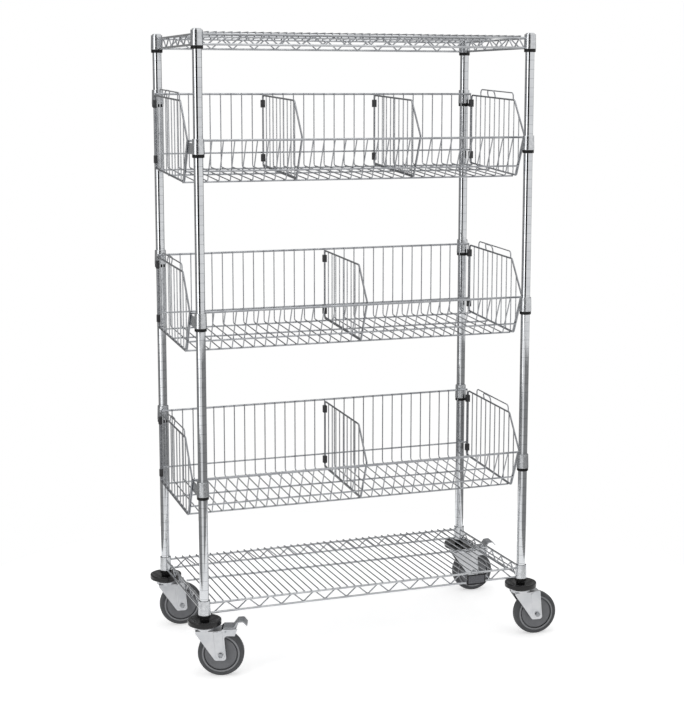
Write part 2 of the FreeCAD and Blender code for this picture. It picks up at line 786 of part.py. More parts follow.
def make_stem():
    body = new_body("stem")
    plug = f"({POST_BORE} - seat_gap)"
    neck = "stem_neck_diameter/2"
    seat = f"({FORK_CROWN} - fork_crown - seat_gap)"
    head = "stem_head_diameter/2"
    low = f"({seat} - stem_head_height)"
    high = f"({CASTER_HEIGHT} + stem_plug_length)"
    section = [("0", low), (head, low), (head, seat), (neck, seat), (neck, CASTER_HEIGHT),
               (plug, CASTER_HEIGHT), (plug, high), ("0", high)]
    turn(body, outline(body, "section", "XZ_Plane", section), "turned")
    return body


def make_bumper():
    """Round bumper with a dished top round the boss on which the post stands."""
    body = new_body("bumper")
    bore = "(stem_neck_diameter/2 + seat_gap)"
    boss = "bumper_boss_diameter/2"
    rim = "bumper_diameter/2"
    top = f"({CASTER_HEIGHT} - seat_gap)"
    under = f"({top} - bumper_height)"
    rim_top = f"({top} - bumper_rim_drop)"
    rim_low = f"({rim_top} - bumper_rim_height)"
    dish = f"({rim_top} - bumper_dish)"
    section = [(bore, under), ("bumper_foot_diameter/2", under), (rim, rim_low), (rim, rim_top),
               (f"{rim} - bumper_rim_width", rim_top), (f"{boss} + bumper_boss_flare", dish), (boss, dish),
               (boss, top), (bore, top)]
    turn(body, outline(body, "section", "XZ_Plane", section), "turned")
    inner = number(f"{rim} - bumper_rim_width - {NEAR}")
    low = number(f"{rim_low} - {NEAR}")

    def on_rim(edge):
        box = edge.BoundBox
        return box.XMax > inner and box.ZMin > low and box.ZLength < NEAR

    fillet(body, "rounding", "bumper_edge", on_rim)
    return body


def across_edges(*points):
    """Picker of the edges that run across a caster through the given points of its side."""
    wanted_points = [(number(along), number(up)) for along, up in points]

    def wanted(edge):
        box = edge.BoundBox
        flat = box.XLength < NEAR and box.ZLength < NEAR
        return flat and any(math.dist((box.XMin, box.ZMin), point) < NEAR for point in wanted_points)

    return wanted


def make_fork(name, braked):
    """Pressed fork: crown with a swivel race, two legs and, on a braked caster, arms for the pedal."""
    body = new_body(name)
    crown = FORK_CROWN
    front = "-fork_front"
    back = "(caster_trail + fork_leg_width/2)"
    lead = "(caster_trail - fork_leg_width/2)"
    foot = f"({AXLE_HEIGHT} - fork_leg_width/2)"
    side = [(front, crown), (f"{back} - fork_back_lean", crown), (back, foot), (lead, foot),
            (front, f"{crown} - fork_front_depth")]
    rounded = [(back, foot), (lead, foot)]
    high = f"({crown} + brake_arm_rise)"
    arm = "(caster_trail + brake_arm_reach)"
    if braked:
        low = f"({high} - brake_arm_height)"
        root = (f"({back} - fork_back_lean*({low} - {foot})/({crown} - {foot}))", low)
        start = "(caster_trail + brake_arm_start)"
        side[1:2] = [(start, crown), (f"{start} + brake_arm_rise", high), (arm, high),
                     (f"{arm} - fork_back_lean", low), root]
        rounded.append(root)
    pad(body, outline(body, "side", "XZ_Plane", side), "blank", FORK_OUTER)
    under = f"({crown} - fork_crown)"
    past = f"({arm} + fork_leg_width)"
    hollow = [("-2*fork_front", "0"), (past, "0"), (past, under), ("-2*fork_front", under)]
    if braked:
        cut = f"({PIVOT_REACH} - 2*pedal_heel)"
        hollow[2:3] = [(past, f"{high} + fork_crown"), (cut, f"{high} + fork_crown"), (cut, under)]
    pad(body, outline(body, "hollow", "XZ_Plane", hollow), "channel", "fork_inner_width", kind="Pocket")
    fillet(body, "corners", "fork_leg_corner", across_edges(*rounded))
    top = number(crown)
    outer = number(f"{FORK_OUTER}/2")
    fillet(body, "shoulders", "fork_bend",
           lambda edge: abs(edge.BoundBox.ZMin - top) < NEAR and edge.BoundBox.ZLength < NEAR
           and edge.BoundBox.YLength < NEAR and abs(abs(edge.BoundBox.YMin) - outer) < NEAR)
    race = "race_diameter/2"
    bore = "(stem_neck_diameter/2 + turn_gap)"
    section = [("0", under), (race, under), (race, f"{crown} + race_height - race_chamfer"),
               (f"{race} - race_chamfer", f"{crown} + race_height"), ("0", f"{crown} + race_height")]
    turn(body, outline(body, "race", "XZ_Plane", section), "swivel")
    pad(body, ring(body, "bore", "XY_Plane", ("0", "0"), bore), "stem_hole", f"4*{crown}", kind="Pocket")
    hole = ring(body, "axle", "XZ_Plane", ("caster_trail", AXLE_HEIGHT), "axle_diameter/2 + seat_gap")
    pad(body, hole, "axle_hole", f"2*{FORK_OUTER}", kind="Pocket")
    if braked:
        pivot = (PIVOT_REACH, PIVOT_HEIGHT)
        hole = ring(body, "pivot", "XZ_Plane", pivot, "pedal_pin_diameter/2 + turn_gap")
        pad(body, hole, "pivot_hole", f"2*{FORK_OUTER}", kind="Pocket")
    return body


def make_tyre():
    body = new_body("tyre")
    bead = "(hub_diameter/2 + seat_gap)"
    tread = "wheel_diameter/2"
    side = "wheel_width/2"
    section = [(f"-{side}", bead), (side, bead), (side, tread), (f"-{side}", tread)]
    turn(body, outline(body, "section", "YZ_Plane", section), "turned", axis="H_Axis")
    reach = number(f"{tread} - {NEAR}")
    fillet(body, "shoulders", "tyre_shoulder",
           lambda edge: edge.BoundBox.ZMax > reach and edge.BoundBox.YLength < NEAR)
    return body


def make_hub():
    """Wheel core: rim under the tyre, a recessed ring, flat faces and a long boss."""
    body = new_body("hub")
    bore = "(axle_sleeve_diameter/2 + turn_gap)"
    rim = "hub_diameter/2"
    face = "hub_face_diameter/2"
    boss = "hub_boss_diameter/2"
    end = "(fork_inner_width/2 - 8*turn_gap)"
    flank = "hub_face_width/2"
    half = [(end, bore), (end, boss), (flank, f"{boss} + hub_boss_flare"), (flank, face),
            ("hub_rim_width/2", face), ("hub_rim_width/2", rim)]
    section = half + [(f"-{across}", up) for across, up in reversed(half)]
    turn(body, outline(body, "section", "YZ_Plane", section), "turned", axis="H_Axis")
    return body


def across_rod(name, diameter, length, start):
    return rod(name, diameter, length, ("0", start, "0"), Vector(0, 1, 0))


def hexagon(name, height, start):
    item = doc.addObject("Part::Prism", name)
    item.Polygon = 6
    item.setExpression("Circumradius", bound("axle_hex/2"))
    item.setExpression("Height", bound(height))
    item.Placement = Placement(Vector(), Rotation(Vector(0, 0, 1), Vector(0, 1, 0)))
    item.setExpression("Placement.Base.y", bound(start))
    return item


def boolean(kind, name, base, tool):
    item = doc.addObject(f"Part::{kind}", name)
    item.Base = base
    item.Tool = tool
    return item


def make_axle():
    """Bolt through both legs, its nut and the sleeve between the legs, on the Y axis."""
    side = f"({FORK_OUTER}/2 + seat_gap)"
    far = f"({side} + axle_nut_height + axle_head_height/2)"
    shank = across_rod("axle_shank", "axle_diameter", f"{side} + {far}", f"-{side}")
    head = hexagon("axle_head", "axle_head_height", f"-{side} - axle_head_height")
    bolt = boolean("Fuse", "axle_bolt", shank, head)
    bore = "(axle_diameter + 2*seat_gap)"
    hole = across_rod("nut_bore", bore, f"3*{far}", f"-{far}")
    nut = boolean("Cut", "axle_nut", hexagon("nut_blank", "axle_nut_height", side), hole)
    length = "(fork_inner_width - 2*seat_gap)"
    tube = across_rod("sleeve_tube", "axle_sleeve_diameter", length, f"-{length}/2")
    inside = across_rod("sleeve_bore", bore, f"2*{length}", f"-{length}")
    sleeve = boolean("Cut", "axle_sleeve", tube, inside)
    return group("axle", [bolt, nut, sleeve])


def make_pedal():
    """Brake pedal: a bent tread plate, two side cheeks, a shoe over the tyre and the pivot pin."""
    body = new_body("pedal")
    width = "(fork_inner_width - 2*pedal_side_gap)"
    pivot = PIVOT_HEIGHT
    heel = f"({PIVOT_REACH} - pedal_heel)"
    knee = f"({PIVOT_REACH} + pedal_knee)"
    tip = f"({PIVOT_REACH} + pedal_reach)"
    deck = f"({pivot} + pedal_deck_rise)"
    crest = f"({pivot} + pedal_crest_rise)"
    end = f"({crest} - pedal_tip_drop)"
    ramp = f"({knee} + pedal_ramp)"
    brow = f"({ramp} + pedal_crest_length)"
    plate = [(heel, deck), (knee, deck), (f"{ramp} + pedal_sheet/2", f"{crest} - 1.5*pedal_sheet"),
             (f"{brow} - pedal_sheet/2", f"{crest} - pedal_sheet"), (f"{tip} - pedal_sheet", end),
             (tip, end), (f"{brow} + pedal_sheet/2", crest),
             (f"{ramp} - pedal_sheet/2", f"{crest} - pedal_sheet/2"),
             (f"{knee} - pedal_sheet/2", f"{deck} + pedal_sheet"), (heel, f"{deck} + pedal_sheet")]
    pad(body, outline(body, "plate", "XZ_Plane", plate), "tread", width)
    fillet(body, "curl", "pedal_bend", across_edges(plate[2], plate[3], plate[6], plate[7]))
    low = f"({pivot} - pedal_heel)"
    cheek_top = f"({deck} + pedal_sheet/2)"
    cheek = [(heel, cheek_top), (heel, low), (f"{PIVOT_REACH} + pedal_pin_diameter", low),
             (knee, f"{pivot} - pedal_shoe_drop"), (knee, cheek_top)]
    pad(body, outline(body, "cheek", "XZ_Plane", cheek), "cheeks", width)
    before = f"({heel} - pedal_sheet)"
    below = f"({low} - pedal_heel)"
    behind = f"({knee} - pedal_sheet)"
    inside = outline(body, "inside", "XZ_Plane",
                     [(before, below), (behind, below), (behind, deck), (before, deck)])
    pad(body, inside, "room", f"{width} - 2*pedal_sheet", kind="Pocket")
    pin = ring(body, "pin", "XZ_Plane", (PIVOT_REACH, pivot), "pedal_pin_diameter/2")
    pad(body, pin, "pivot_pin", f"{FORK_OUTER} + pedal_sheet")
    return body


def make_casters():
    forks = {False: make_fork("plain_fork", False), True: make_fork("braked_fork", True)}
    tyre = make_tyre()
    hub = make_hub()
    axle = make_axle()
    pedal = make_pedal()
    for corner, sx, sy in CORNERS:
        turned = "front_left_turn" if corner == "front_left" else "other_turn"
        braked = corner in ("front_left", "back_right")
        foot = (sx + POST_X, sy + POST_Y, CASTER_FOOT)
        across = f"{sx}{POST_X} + caster_trail*cos({turned})"
        along = f"{sy}{POST_Y} + caster_trail*sin({turned})"
        wheel = (across, along, f"{CASTER_FOOT} + {AXLE_HEIGHT}")
        keep(copy(forks[braked], foot, turned), f"{corner}_fork")
        keep(copy(axle, wheel, turned), f"{corner}_axle")
        keep(copy(tyre, wheel, turned), f"{corner}_tyre")
        keep(copy(hub, wheel, turned), f"{corner}_hub")
        if braked:
            keep(copy(pedal, foot, turned), f"{corner}_brake_pedal")
    keep(group("stem_set", at_posts(make_stem(), CASTER_FOOT)), "caster_stems")
    keep(group("bumper_set", at_posts(make_bumper(), CASTER_FOOT)), "caster_bumpers")


def build():
    for corner, sx, sy in CORNERS:
        make_post(f"post_{corner}", (sx + POST_X, sy + POST_Y, "post_foot_height"))
    make_post_caps()
    collar = make_collar()
    sleeve = make_sleeve()
    shelf_sleeves = []
    shelf = make_shelf_masters(collar)
    for name, height in (("top_shelf", level(LAST_GROOVE)), ("bottom_shelf", BASE_LEVEL)):
        for piece, master in shelf.items():
            keep(copy(master, ("0", "0", height)), f"{name}_{piece}")
        shelf_sleeves += at_posts(sleeve, height)
    keep(group("shelf_sleeve_set", shelf_sleeves), "shelf_sleeves")
    make_baskets(collar, sleeve)
    make_label()
    make_casters()
    doc.recompute()


def write_out():
    """Checks every object and each sub-part's shape, then writes one STEP file for each sub-part."""
    failed = [item.Label for item in doc.Objects if {"Invalid", "Error"} & set(item.State)]
    if failed:
        raise RuntimeError(f"objects that failed: {failed}")
    shapes = {item.Label: Part.getShape(item) for item in nodes}
    for label, shape in shapes.items():
        if shape.isNull() or not shape.isValid() or not shape.Solids:
            raise RuntimeError(f"{label} has no valid shape")
    os.makedirs("parts", exist_ok=True)
    for label, shape in shapes.items():
        shape.exportStep(f"parts/{label}.step")
    print(f"{len(shapes)} sub-parts, {sum(len(shape.Solids) for shape in shapes.values())} solids")


build()
write_out()
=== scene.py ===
"""Visual model of a mobile wire shelving rack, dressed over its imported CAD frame.

Four grooved posts on swivel casters carry two flat wire shelves and three sloped wire baskets.
Sizes are in millimetres, apart from those of the stage. The rack's front faces -Y and +Z is up.
"""
import logging
import math
from dataclasses import dataclass, field
from enum import Enum

import bmesh
import bpy
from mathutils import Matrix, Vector


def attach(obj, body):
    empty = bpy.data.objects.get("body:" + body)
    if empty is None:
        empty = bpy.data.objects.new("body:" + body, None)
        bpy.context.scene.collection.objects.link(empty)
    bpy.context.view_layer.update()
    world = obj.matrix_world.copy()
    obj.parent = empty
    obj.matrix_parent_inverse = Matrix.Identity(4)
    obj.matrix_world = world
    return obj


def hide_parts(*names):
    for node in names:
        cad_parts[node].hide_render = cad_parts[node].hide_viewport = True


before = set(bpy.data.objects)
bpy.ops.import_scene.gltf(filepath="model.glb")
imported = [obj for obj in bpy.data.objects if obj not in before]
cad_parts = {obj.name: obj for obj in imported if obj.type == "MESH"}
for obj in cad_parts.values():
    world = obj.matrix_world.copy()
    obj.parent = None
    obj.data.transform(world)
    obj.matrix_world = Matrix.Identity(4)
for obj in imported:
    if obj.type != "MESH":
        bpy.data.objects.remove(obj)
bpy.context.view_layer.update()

MM = 0.001
SQUARE = math.pi / 2
WHITE = "#ffffff"
log = logging.getLogger("rack")

Point = tuple[float, float, float]
SidePoint = tuple[float, float]
Line = tuple[SidePoint, SidePoint]


class Slot(Enum):
    """Material slots of the record."""

    POSTS = "chrome_posts"
    CAPS = "chrome_caps"
    WIRE = "chrome_wire"
    PLASTIC = "black_plastic"
    CARD = "grey_card"
    BUMPER = "black_rubber"
    ZINC = "zinc_steel"
    TYRE = "grey_tyre"
    HUB = "grey_hub"


class Corner(Enum):
    """Corners of the rack as signs along X and Y."""

    FRONT_LEFT = (-1, -1)
    FRONT_RIGHT = (1, -1)
    BACK_LEFT = (-1, 1)
    BACK_RIGHT = (1, 1)

    @property
    def label(self) -> str:
        """Name of the corner as the frame's bodies and nodes have it."""
        return self.name.lower()


def linear(hex_colour: str) -> tuple[float, float, float, float]:
    """Turns an sRGB hex colour into linear red, green, blue and alpha.

    Args:
        hex_colour: Colour as "#rrggbb".

    Returns:
        Linear channels from 0 to 1, with alpha 1.
    """
    channels = [int(hex_colour[index:index + 2], 16) / 255 for index in (1, 3, 5)]
    red, green, blue = [c / 12.92 if c <= 0.04045 else ((c + 0.055) / 1.055) ** 2.4 for c in channels]
    return (red, green, blue, 1.0)


def add_node(tree: bpy.types.NodeTree, kind: str, inputs: dict | None = None,
             **settings: object) -> bpy.types.Node:
    """Adds a node, sets its properties and fills its inputs.

    Args:
        tree: Node tree that gets the node.
        kind: Blender's name of the node type.
        inputs: Input names or numbers, each with a value or with the output socket that feeds it.
        settings: Properties of the node.

    Returns:
        The new node.
    """
    node = tree.nodes.new(kind)
    for name, value in settings.items():
        setattr(node, name, value)
    for key, value in (inputs or {}).items():
        if isinstance(value, bpy.types.NodeSocket):
            tree.links.new(value, node.inputs[key])
        else:
            node.inputs[key].default_value = value
    return node


# Finishes

COLOUR_STOPS = (0.35, 0.65)
VALUE_STOPS = (0.3, 0.7)
CLOUD_DETAIL = 3.0
GRAIN_DETAIL = 2.0
LINE_DETAIL = 1.0


def start_material(name: str) -> tuple[bpy.types.Material, bpy.types.NodeTree]:
    """Starts an empty node material.

    Args:
        name: Name of the material.

    Returns:
        The material and its node tree.
    """
    material = bpy.data.materials.new(name)
    material.use_nodes = True
    material.node_tree.nodes.clear()
    return material, material.node_tree


def mottle(tree: bpy.types.NodeTree, coords: bpy.types.NodeSocket, size_mm: float, low: float | str,
           high: float | str, detail: float = CLOUD_DETAIL) -> bpy.types.NodeSocket:
    """Adds a soft random pattern between two values or two colours.

    Args:
        tree: Node tree of the material.
        coords: Coordinates in metres.
        size_mm: Width of one patch.
        low: Value or colour in the pattern's dark half.
        high: Value or colour in its light half.
        detail: How much finer structure the patches have.

    Returns:
        Socket with the value or the colour.
    """
    noise = add_node(tree, "ShaderNodeTexNoise",
                     {"Vector": coords, "Scale": 1 / (size_mm * MM), "Detail": detail})
    if isinstance(low, str):
        ramp = add_node(tree, "ShaderNodeValToRGB", {"Fac": noise.outputs["Fac"]})
        for stop, place, colour in zip(ramp.color_ramp.elements, COLOUR_STOPS, (low, high)):
            stop.position = place
            stop.color = linear(colour)
        return ramp.outputs["Color"]
    start, end = VALUE_STOPS
    spread = add_node(tree, "ShaderNodeMapRange",
                      {"Value": noise.outputs["Fac"], "From Min": start, "From Max": end,
                       "To Min": low, "To Max": high})
    return spread.outputs["Result"]


def end_material(tree: bpy.types.NodeTree, relief: bpy.types.NodeSocket, sharpness: float, height_mm: float,
                 inputs: dict[str, object]) -> None:
    """Ends a material with a surface that has relief.

    Args:
        tree: Node tree of the material.
        relief: Pattern of the relief from 0 to 1.
        sharpness: How strongly the relief shows.
        height_mm: Height of the relief.
        inputs: Other inputs of the surface's shader.
    """
    bump = add_node(tree, "ShaderNodeBump",
                    {"Height": relief, "Strength": sharpness, "Distance": height_mm * MM})
    shader = add_node(tree, "ShaderNodeBsdfPrincipled", {**inputs, "Normal": bump.outputs["Normal"]})
    add_node(tree, "ShaderNodeOutputMaterial", {"Surface": shader.outputs["BSDF"]})


@dataclass(frozen=True)
class PlatedSteel:
    """Steel with an electroplated metal skin: chromium or zinc.

    Attributes:
        name: Material name.
        tone: Reflected colour of clean plate.
        haze: Reflected colour where the plate is slightly clouded.
        cloud_mm: Width of the cloudy patches.
        line_mm: Width and length of the drawing or polishing lines, which run along Z.
        gloss: Roughness of clean and of clouded plate.
        relief: Height of the surface's unevenness in millimetres.
        groove: Painted shade in ring grooves: a darker colour at their root, where the piece has them.
        groove_fade: Scales of the section between which that painted shade fades out.
        gloss_parts: How many patches of gloss lie along a cloudy patch.
        sharpness: How strongly the lines show.
    """

    name: str
    tone: str
    haze: str
    cloud_mm: float
    line_mm: tuple[float, float]
    gloss: tuple[float, float]
    relief: float
    groove: str = ""
    groove_fade: tuple[float, float] = (0.95, 0.99)
    gloss_parts: int = 3
    sharpness: float = 0.25

    def build(self) -> bpy.types.Material:
        """Makes the material.

        Returns:
            The material.
        """
        material, tree = start_material(self.name)
        coords = add_node(tree, "ShaderNodeTexCoord").outputs["Object"]
        across, along = self.line_mm
        stretched = add_node(tree, "ShaderNodeMapping",
                             {"Vector": coords, "Scale": (along / across, along / across, 1.0)})
        lines = mottle(tree, stretched.outputs["Vector"], along, 0.0, 1.0, LINE_DETAIL)
        colour = mottle(tree, coords, self.cloud_mm, self.haze, self.tone)
        # Painted shade: the colour turns darker towards the root of each ring groove
        if self.groove:
            swell = add_node(tree, "ShaderNodeAttribute", attribute_name="swell").outputs["Fac"]
            start, end = self.groove_fade
            full = add_node(tree, "ShaderNodeMapRange",
                            {"Value": swell, "From Min": start, "From Max": end})
            mixed = add_node(tree, "ShaderNodeMix",
                             {0: full.outputs["Result"], 6: linear(self.groove), 7: colour},
                             data_type="RGBA")
            colour = mixed.outputs[2]
        roughness = mottle(tree, coords, self.cloud_mm / self.gloss_parts, *self.gloss)
        end_material(tree, lines, self.sharpness, self.relief,
                     {"Base Color": colour, "Roughness": roughness, "Metallic": 1.0})
        return material


@dataclass(frozen=True)
class MouldedPolymer:
    """Moulded plastic or rubber with a fine grain left by the mould.

    Attributes:
        name: Material name.
        tone: Colour of the moulding.
        scuff: Colour of rubbed or dusty patches.
        patch_mm: Width of those patches.
        grain_mm: Width of the mould's grain.
        gloss: Roughness of smooth and of rubbed areas.
        relief: Depth of the grain in millimetres.
        sheen: Strength of the surface reflection, where 0.5 is that of clear plastic.
        gloss_parts: How many patches of gloss lie along a rubbed patch.
        sharpness: How strongly the grain shows.
    """

    name: str
    tone: str
    scuff: str
    patch_mm: float
    grain_mm: float
    gloss: tuple[float, float]
    relief: float
    sheen: float
    gloss_parts: int = 2
    sharpness: float = 0.3

    def build(self) -> bpy.types.Material:
        """Makes the material.

        Returns:
            The material.
        """
        material, tree = start_material(self.name)
        coords = add_node(tree, "ShaderNodeTexCoord").outputs["Object"]
        grain = mottle(tree, coords, self.grain_mm, 0.0, 1.0, GRAIN_DETAIL)
        colour = mottle(tree, coords, self.patch_mm, self.tone, self.scuff)
        roughness = mottle(tree, coords, self.patch_mm / self.gloss_parts, *self.gloss)
        end_material(tree, grain, self.sharpness, self.relief,
                     {"Base Color": colour, "Roughness": roughness, "Specular IOR Level": self.sheen})
        return material


class Finish(Enum):
    """Finishes of the rack's pieces."""

    # Bright chromium over drawn tube: sharp reflections, faintly clouded, with painted shade in the grooves
    POSTS = PlatedSteel("bright_chromium_tube", "#d4d6d8", "#c7c9cc", 60, (1.2, 90), (0.05, 0.11), 0.002,
                        "#b4b6b9")
    # Bright chromium over pressed caps: as bright as the posts, without grooves
    CAPS = PlatedSteel("bright_chromium_cap", "#d2d4d6", "#c4c6c9", 14, (1.5, 10), (0.08, 0.16), 0.003)
    # Bright chromium over thick rail wire: sharper than the thin wires, and paler as painted light on the
    # same plate
    RAIL = PlatedSteel("bright_chromium_rail", "#c2c4c6", "#adafb2", 30, (0.9, 16), (0.10, 0.18), 0.004)
    # Bright chromium over drawn wire: softer and darker, with cloudy patches from barrel plating
    WIRE = PlatedSteel("bright_chromium_wire", "#aeb0b3", "#989a9e", 25, (0.8, 14), (0.14, 0.24), 0.004)
    # Chromium over the panels' bent frame wires: rougher, and darker still as painted shade on the same
    # plate
    FRAME = PlatedSteel("dulled_chromium_frame", "#9b9da0", "#8b8d91", 20, (0.8, 12), (0.18, 0.30), 0.004)
    # Chromium over cast collars: satin, unevenly clouded, so reflections spread into soft bands
    COLLAR = PlatedSteel("satin_chromium_collar", "#cfd1d3", "#bbbdc0", 9, (2.0, 8), (0.18, 0.30), 0.012)
    # Zinc over pressed steel: pale and milky, almost even
    ZINC = PlatedSteel("zinc_plated_pressing", "#cdced0", "#c2c4c7", 30, (1.5, 12), (0.32, 0.40), 0.003)
    # Zinc over the pedal: duller and greyer than the fork
    PEDAL = PlatedSteel("worn_zinc_pedal", "#b2b4b7", "#a2a4a8", 12, (1.0, 10), (0.26, 0.38), 0.004)
    # Zinc over bolts and stems: glossier than the fork round them, and darker as painted shade
    BOLT = PlatedSteel("zinc_plated_bolt", "#9b9da0", "#7f8184", 6, (0.8, 6), (0.18, 0.3), 0.004)
    # Black nylon of the clips with painted light: greyer than the sleeves, and glossier
    CLIP = MouldedPolymer("charcoal_moulded_clip", "#2b2b2d", "#39393b", 8, 0.5, (0.3, 0.45), 0.02, 0.45)
    # Black nylon: fine spark grain, dull, a little greyer where it is rubbed
    NYLON = MouldedPolymer("black_moulded_nylon", "#0f0f10", "#1a1a1b", 14, 0.5, (0.36, 0.52), 0.02, 0.25)
    # Black vinyl of the bumpers: smooth, nearly glossy, with a thin bloom
    VINYL = MouldedPolymer("black_bumper_vinyl", "#0f0f10", "#171718", 24, 0.8, (0.16, 0.28), 0.01, 0.36)
    # Grey rubber tread: matt, with paler scuffs from the floor
    TREAD = MouldedPolymer("grey_tread_rubber", "#505153", "#5a5b5d", 18, 0.7, (0.5, 0.68), 0.03, 0.25)
    # Rubbed bead of the tread beside the wheel core: smoother and paler than the tread
    BEAD = MouldedPolymer("pale_tread_bead", "#8a8b8e", "#949598", 12, 0.7, (0.4, 0.5), 0.02, 0.4)
    # Grey polypropylene wheel core: satin, slightly cloudy
    CORE = MouldedPolymer("grey_polypropylene_core", "#737477", "#7b7c7f", 22, 0.6, (0.36, 0.46),
                          0.02, 0.35)
    # Grey card in the label window: matt with paper fibre
    CARD = MouldedPolymer("grey_label_card", "#5b5c60", "#747579", 4, 0.3, (0.6, 0.75), 0.03, 0.3)

    def material(self) -> bpy.types.Material:
        """Gives the finish's material, made at its first use."""
        return bpy.data.materials.get(self.value.name) or self.value.build()


SLOT_FINISH = {
    Slot.POSTS: Finish.POSTS, Slot.CAPS: Finish.CAPS, Slot.WIRE: Finish.WIRE, Slot.PLASTIC: Finish.NYLON,
    Slot.CARD: Finish.CARD, Slot.BUMPER: Finish.VINYL, Slot.ZINC: Finish.ZINC, Slot.TYRE: Finish.TREAD,
    Slot.HUB: Finish.CORE,
}
# Finishes of CAD nodes that differ from their slot's, by the last word of the node's name
NODE_FINISH = {"pedal": Finish.PEDAL, "axle": Finish.BOLT, "stems": Finish.BOLT}


# Geometry Nodes trees

SHARP_ANGLE = math.radians(40)
BEND_STEPS = 5
SEED = 7


def node_tree(name: str, sockets: dict[str, str]) -> tuple[bpy.types.NodeTree, bpy.types.Node]:
    """Starts a Geometry Nodes tree with named inputs.

    Args:
        name: Name of the tree.
        sockets: Input names with their socket types.

    Returns:
        The tree and its input node.
    """
    tree = bpy.data.node_groups.new(name, "GeometryNodeTree")
    tree.interface.new_socket("Geometry", in_out="INPUT", socket_type="NodeSocketGeometry")
    for label, kind in sockets.items():
        tree.interface.new_socket(label, in_out="INPUT", socket_type=kind)
    tree.interface.new_socket("Geometry", in_out="OUTPUT", socket_type="NodeSocketGeometry")
    return tree, add_node(tree, "NodeGroupInput")


def end_tree(tree: bpy.types.NodeTree, geometry: bpy.types.NodeSocket,
             material: bpy.types.NodeSocket) -> None:
    """Ends a tree with shading that breaks at sharp edges, realised instances and its material.

    Args:
        tree: Geometry Nodes tree.
        geometry: Socket with the finished geometry.
        material: Socket with its material.
    """
    smooth = add_node(tree, "GeometryNodeSetShadeSmooth", {"Geometry": geometry})
    angle = add_node(tree, "GeometryNodeInputMeshEdgeAngle")
    sharp = add_node(tree, "FunctionNodeCompare", {"A": angle.outputs["Unsigned Angle"], "B": SHARP_ANGLE},
                     operation="GREATER_THAN")
    broken = add_node(tree, "GeometryNodeSetShadeSmooth",
                      {"Geometry": smooth.outputs[0], "Selection": sharp.outputs[0], "Shade Smooth": False},
                      domain="EDGE")
    real = add_node(tree, "GeometryNodeRealizeInstances", {"Geometry": broken.outputs[0]})
    dressed = add_node(tree, "GeometryNodeSetMaterial", {"Geometry": real.outputs[0], "Material": material})
    add_node(tree, "NodeGroupOutput", {0: dressed.outputs[0]})


def sweep_tree() -> bpy.types.NodeTree:
    """Builds the tree that sweeps a round section along polylines, with rounded bends.

    The point attribute "swell" scales the section, for ring grooves and for bevelled wire ends.

    Returns:
        The tree.
    """
    tree, given = node_tree("swept_round_section", {
        "Diameter": "NodeSocketFloat", "Bend Radius": "NodeSocketFloat", "Bend Steps": "NodeSocketInt",
        "Sides": "NodeSocketInt", "Material": "NodeSocketMaterial"})
    curve = add_node(tree, "GeometryNodeMeshToCurve", {"Mesh": given.outputs["Geometry"]})
    bends = add_node(tree, "GeometryNodeFilletCurve",
                     {"Curve": curve.outputs[0], "Count": given.outputs["Bend Steps"],
                      "Radius": given.outputs["Bend Radius"], "Limit Radius": True}, mode="POLY")
    swell = add_node(tree, "GeometryNodeInputNamedAttribute", {"Name": "swell"}, data_type="FLOAT")
    sized = add_node(tree, "GeometryNodeSetCurveRadius",
                     {"Curve": bends.outputs[0], "Radius": swell.outputs["Attribute"]})
    radius = add_node(tree, "ShaderNodeMath", {0: given.outputs["Diameter"], 1: 2.0}, operation="DIVIDE")
    section = add_node(tree, "GeometryNodeCurvePrimitiveCircle",
                       {"Resolution": given.outputs["Sides"], "Radius": radius.outputs[0]}, mode="RADIUS")
    swept = add_node(tree, "GeometryNodeCurveToMesh",
                     {"Curve": sized.outputs[0], "Profile Curve": section.outputs[0], "Fill Caps": True})
    end_tree(tree, swept.outputs[0], given.outputs["Material"])
    return tree


def repeat_tree() -> bpy.types.NodeTree:
    """Builds the tree that sets a copy of one shape on every point.

    The point attributes "turn" and "size" give each copy its angles and its scale.

    Returns:
        The tree.
    """
    tree, given = node_tree("repeated_shape", {
        "Shape": "NodeSocketObject", "Size Spread": "NodeSocketFloat", "Seed": "NodeSocketInt",
        "Material": "NodeSocketMaterial"})
    shape = add_node(tree, "GeometryNodeObjectInfo",
                     {"Object": given.outputs["Shape"], "As Instance": True})
    turn = add_node(tree, "GeometryNodeInputNamedAttribute", {"Name": "turn"}, data_type="FLOAT_VECTOR")
    size = add_node(tree, "GeometryNodeInputNamedAttribute", {"Name": "size"}, data_type="FLOAT")
    least = add_node(tree, "ShaderNodeMath", {0: 1.0, 1: given.outputs["Size Spread"]},
                     operation="SUBTRACT")
    chance = add_node(tree, "FunctionNodeRandomValue",
                      {2: least.outputs[0], 3: 1.0, "Seed": given.outputs["Seed"]}, data_type="FLOAT")
    scale = add_node(tree, "ShaderNodeMath", {0: size.outputs["Attribute"], 1: chance.outputs[1]},
                     operation="MULTIPLY")
    copies = add_node(tree, "GeometryNodeInstanceOnPoints",
                      {"Points": given.outputs["Geometry"], "Instance": shape.outputs["Geometry"],
                       "Rotation": turn.outputs["Attribute"], "Scale": scale.outputs[0]})
    end_tree(tree, copies.outputs[0], given.outputs["Material"])
    return tree


SWEEP = sweep_tree()
REPEAT = repeat_tree()


# Pieces

# Scale of a wire's section at its cut ends, and length of the bevel there in wire diameters
END_SCALE = 0.72
END_BEVEL = 0.14


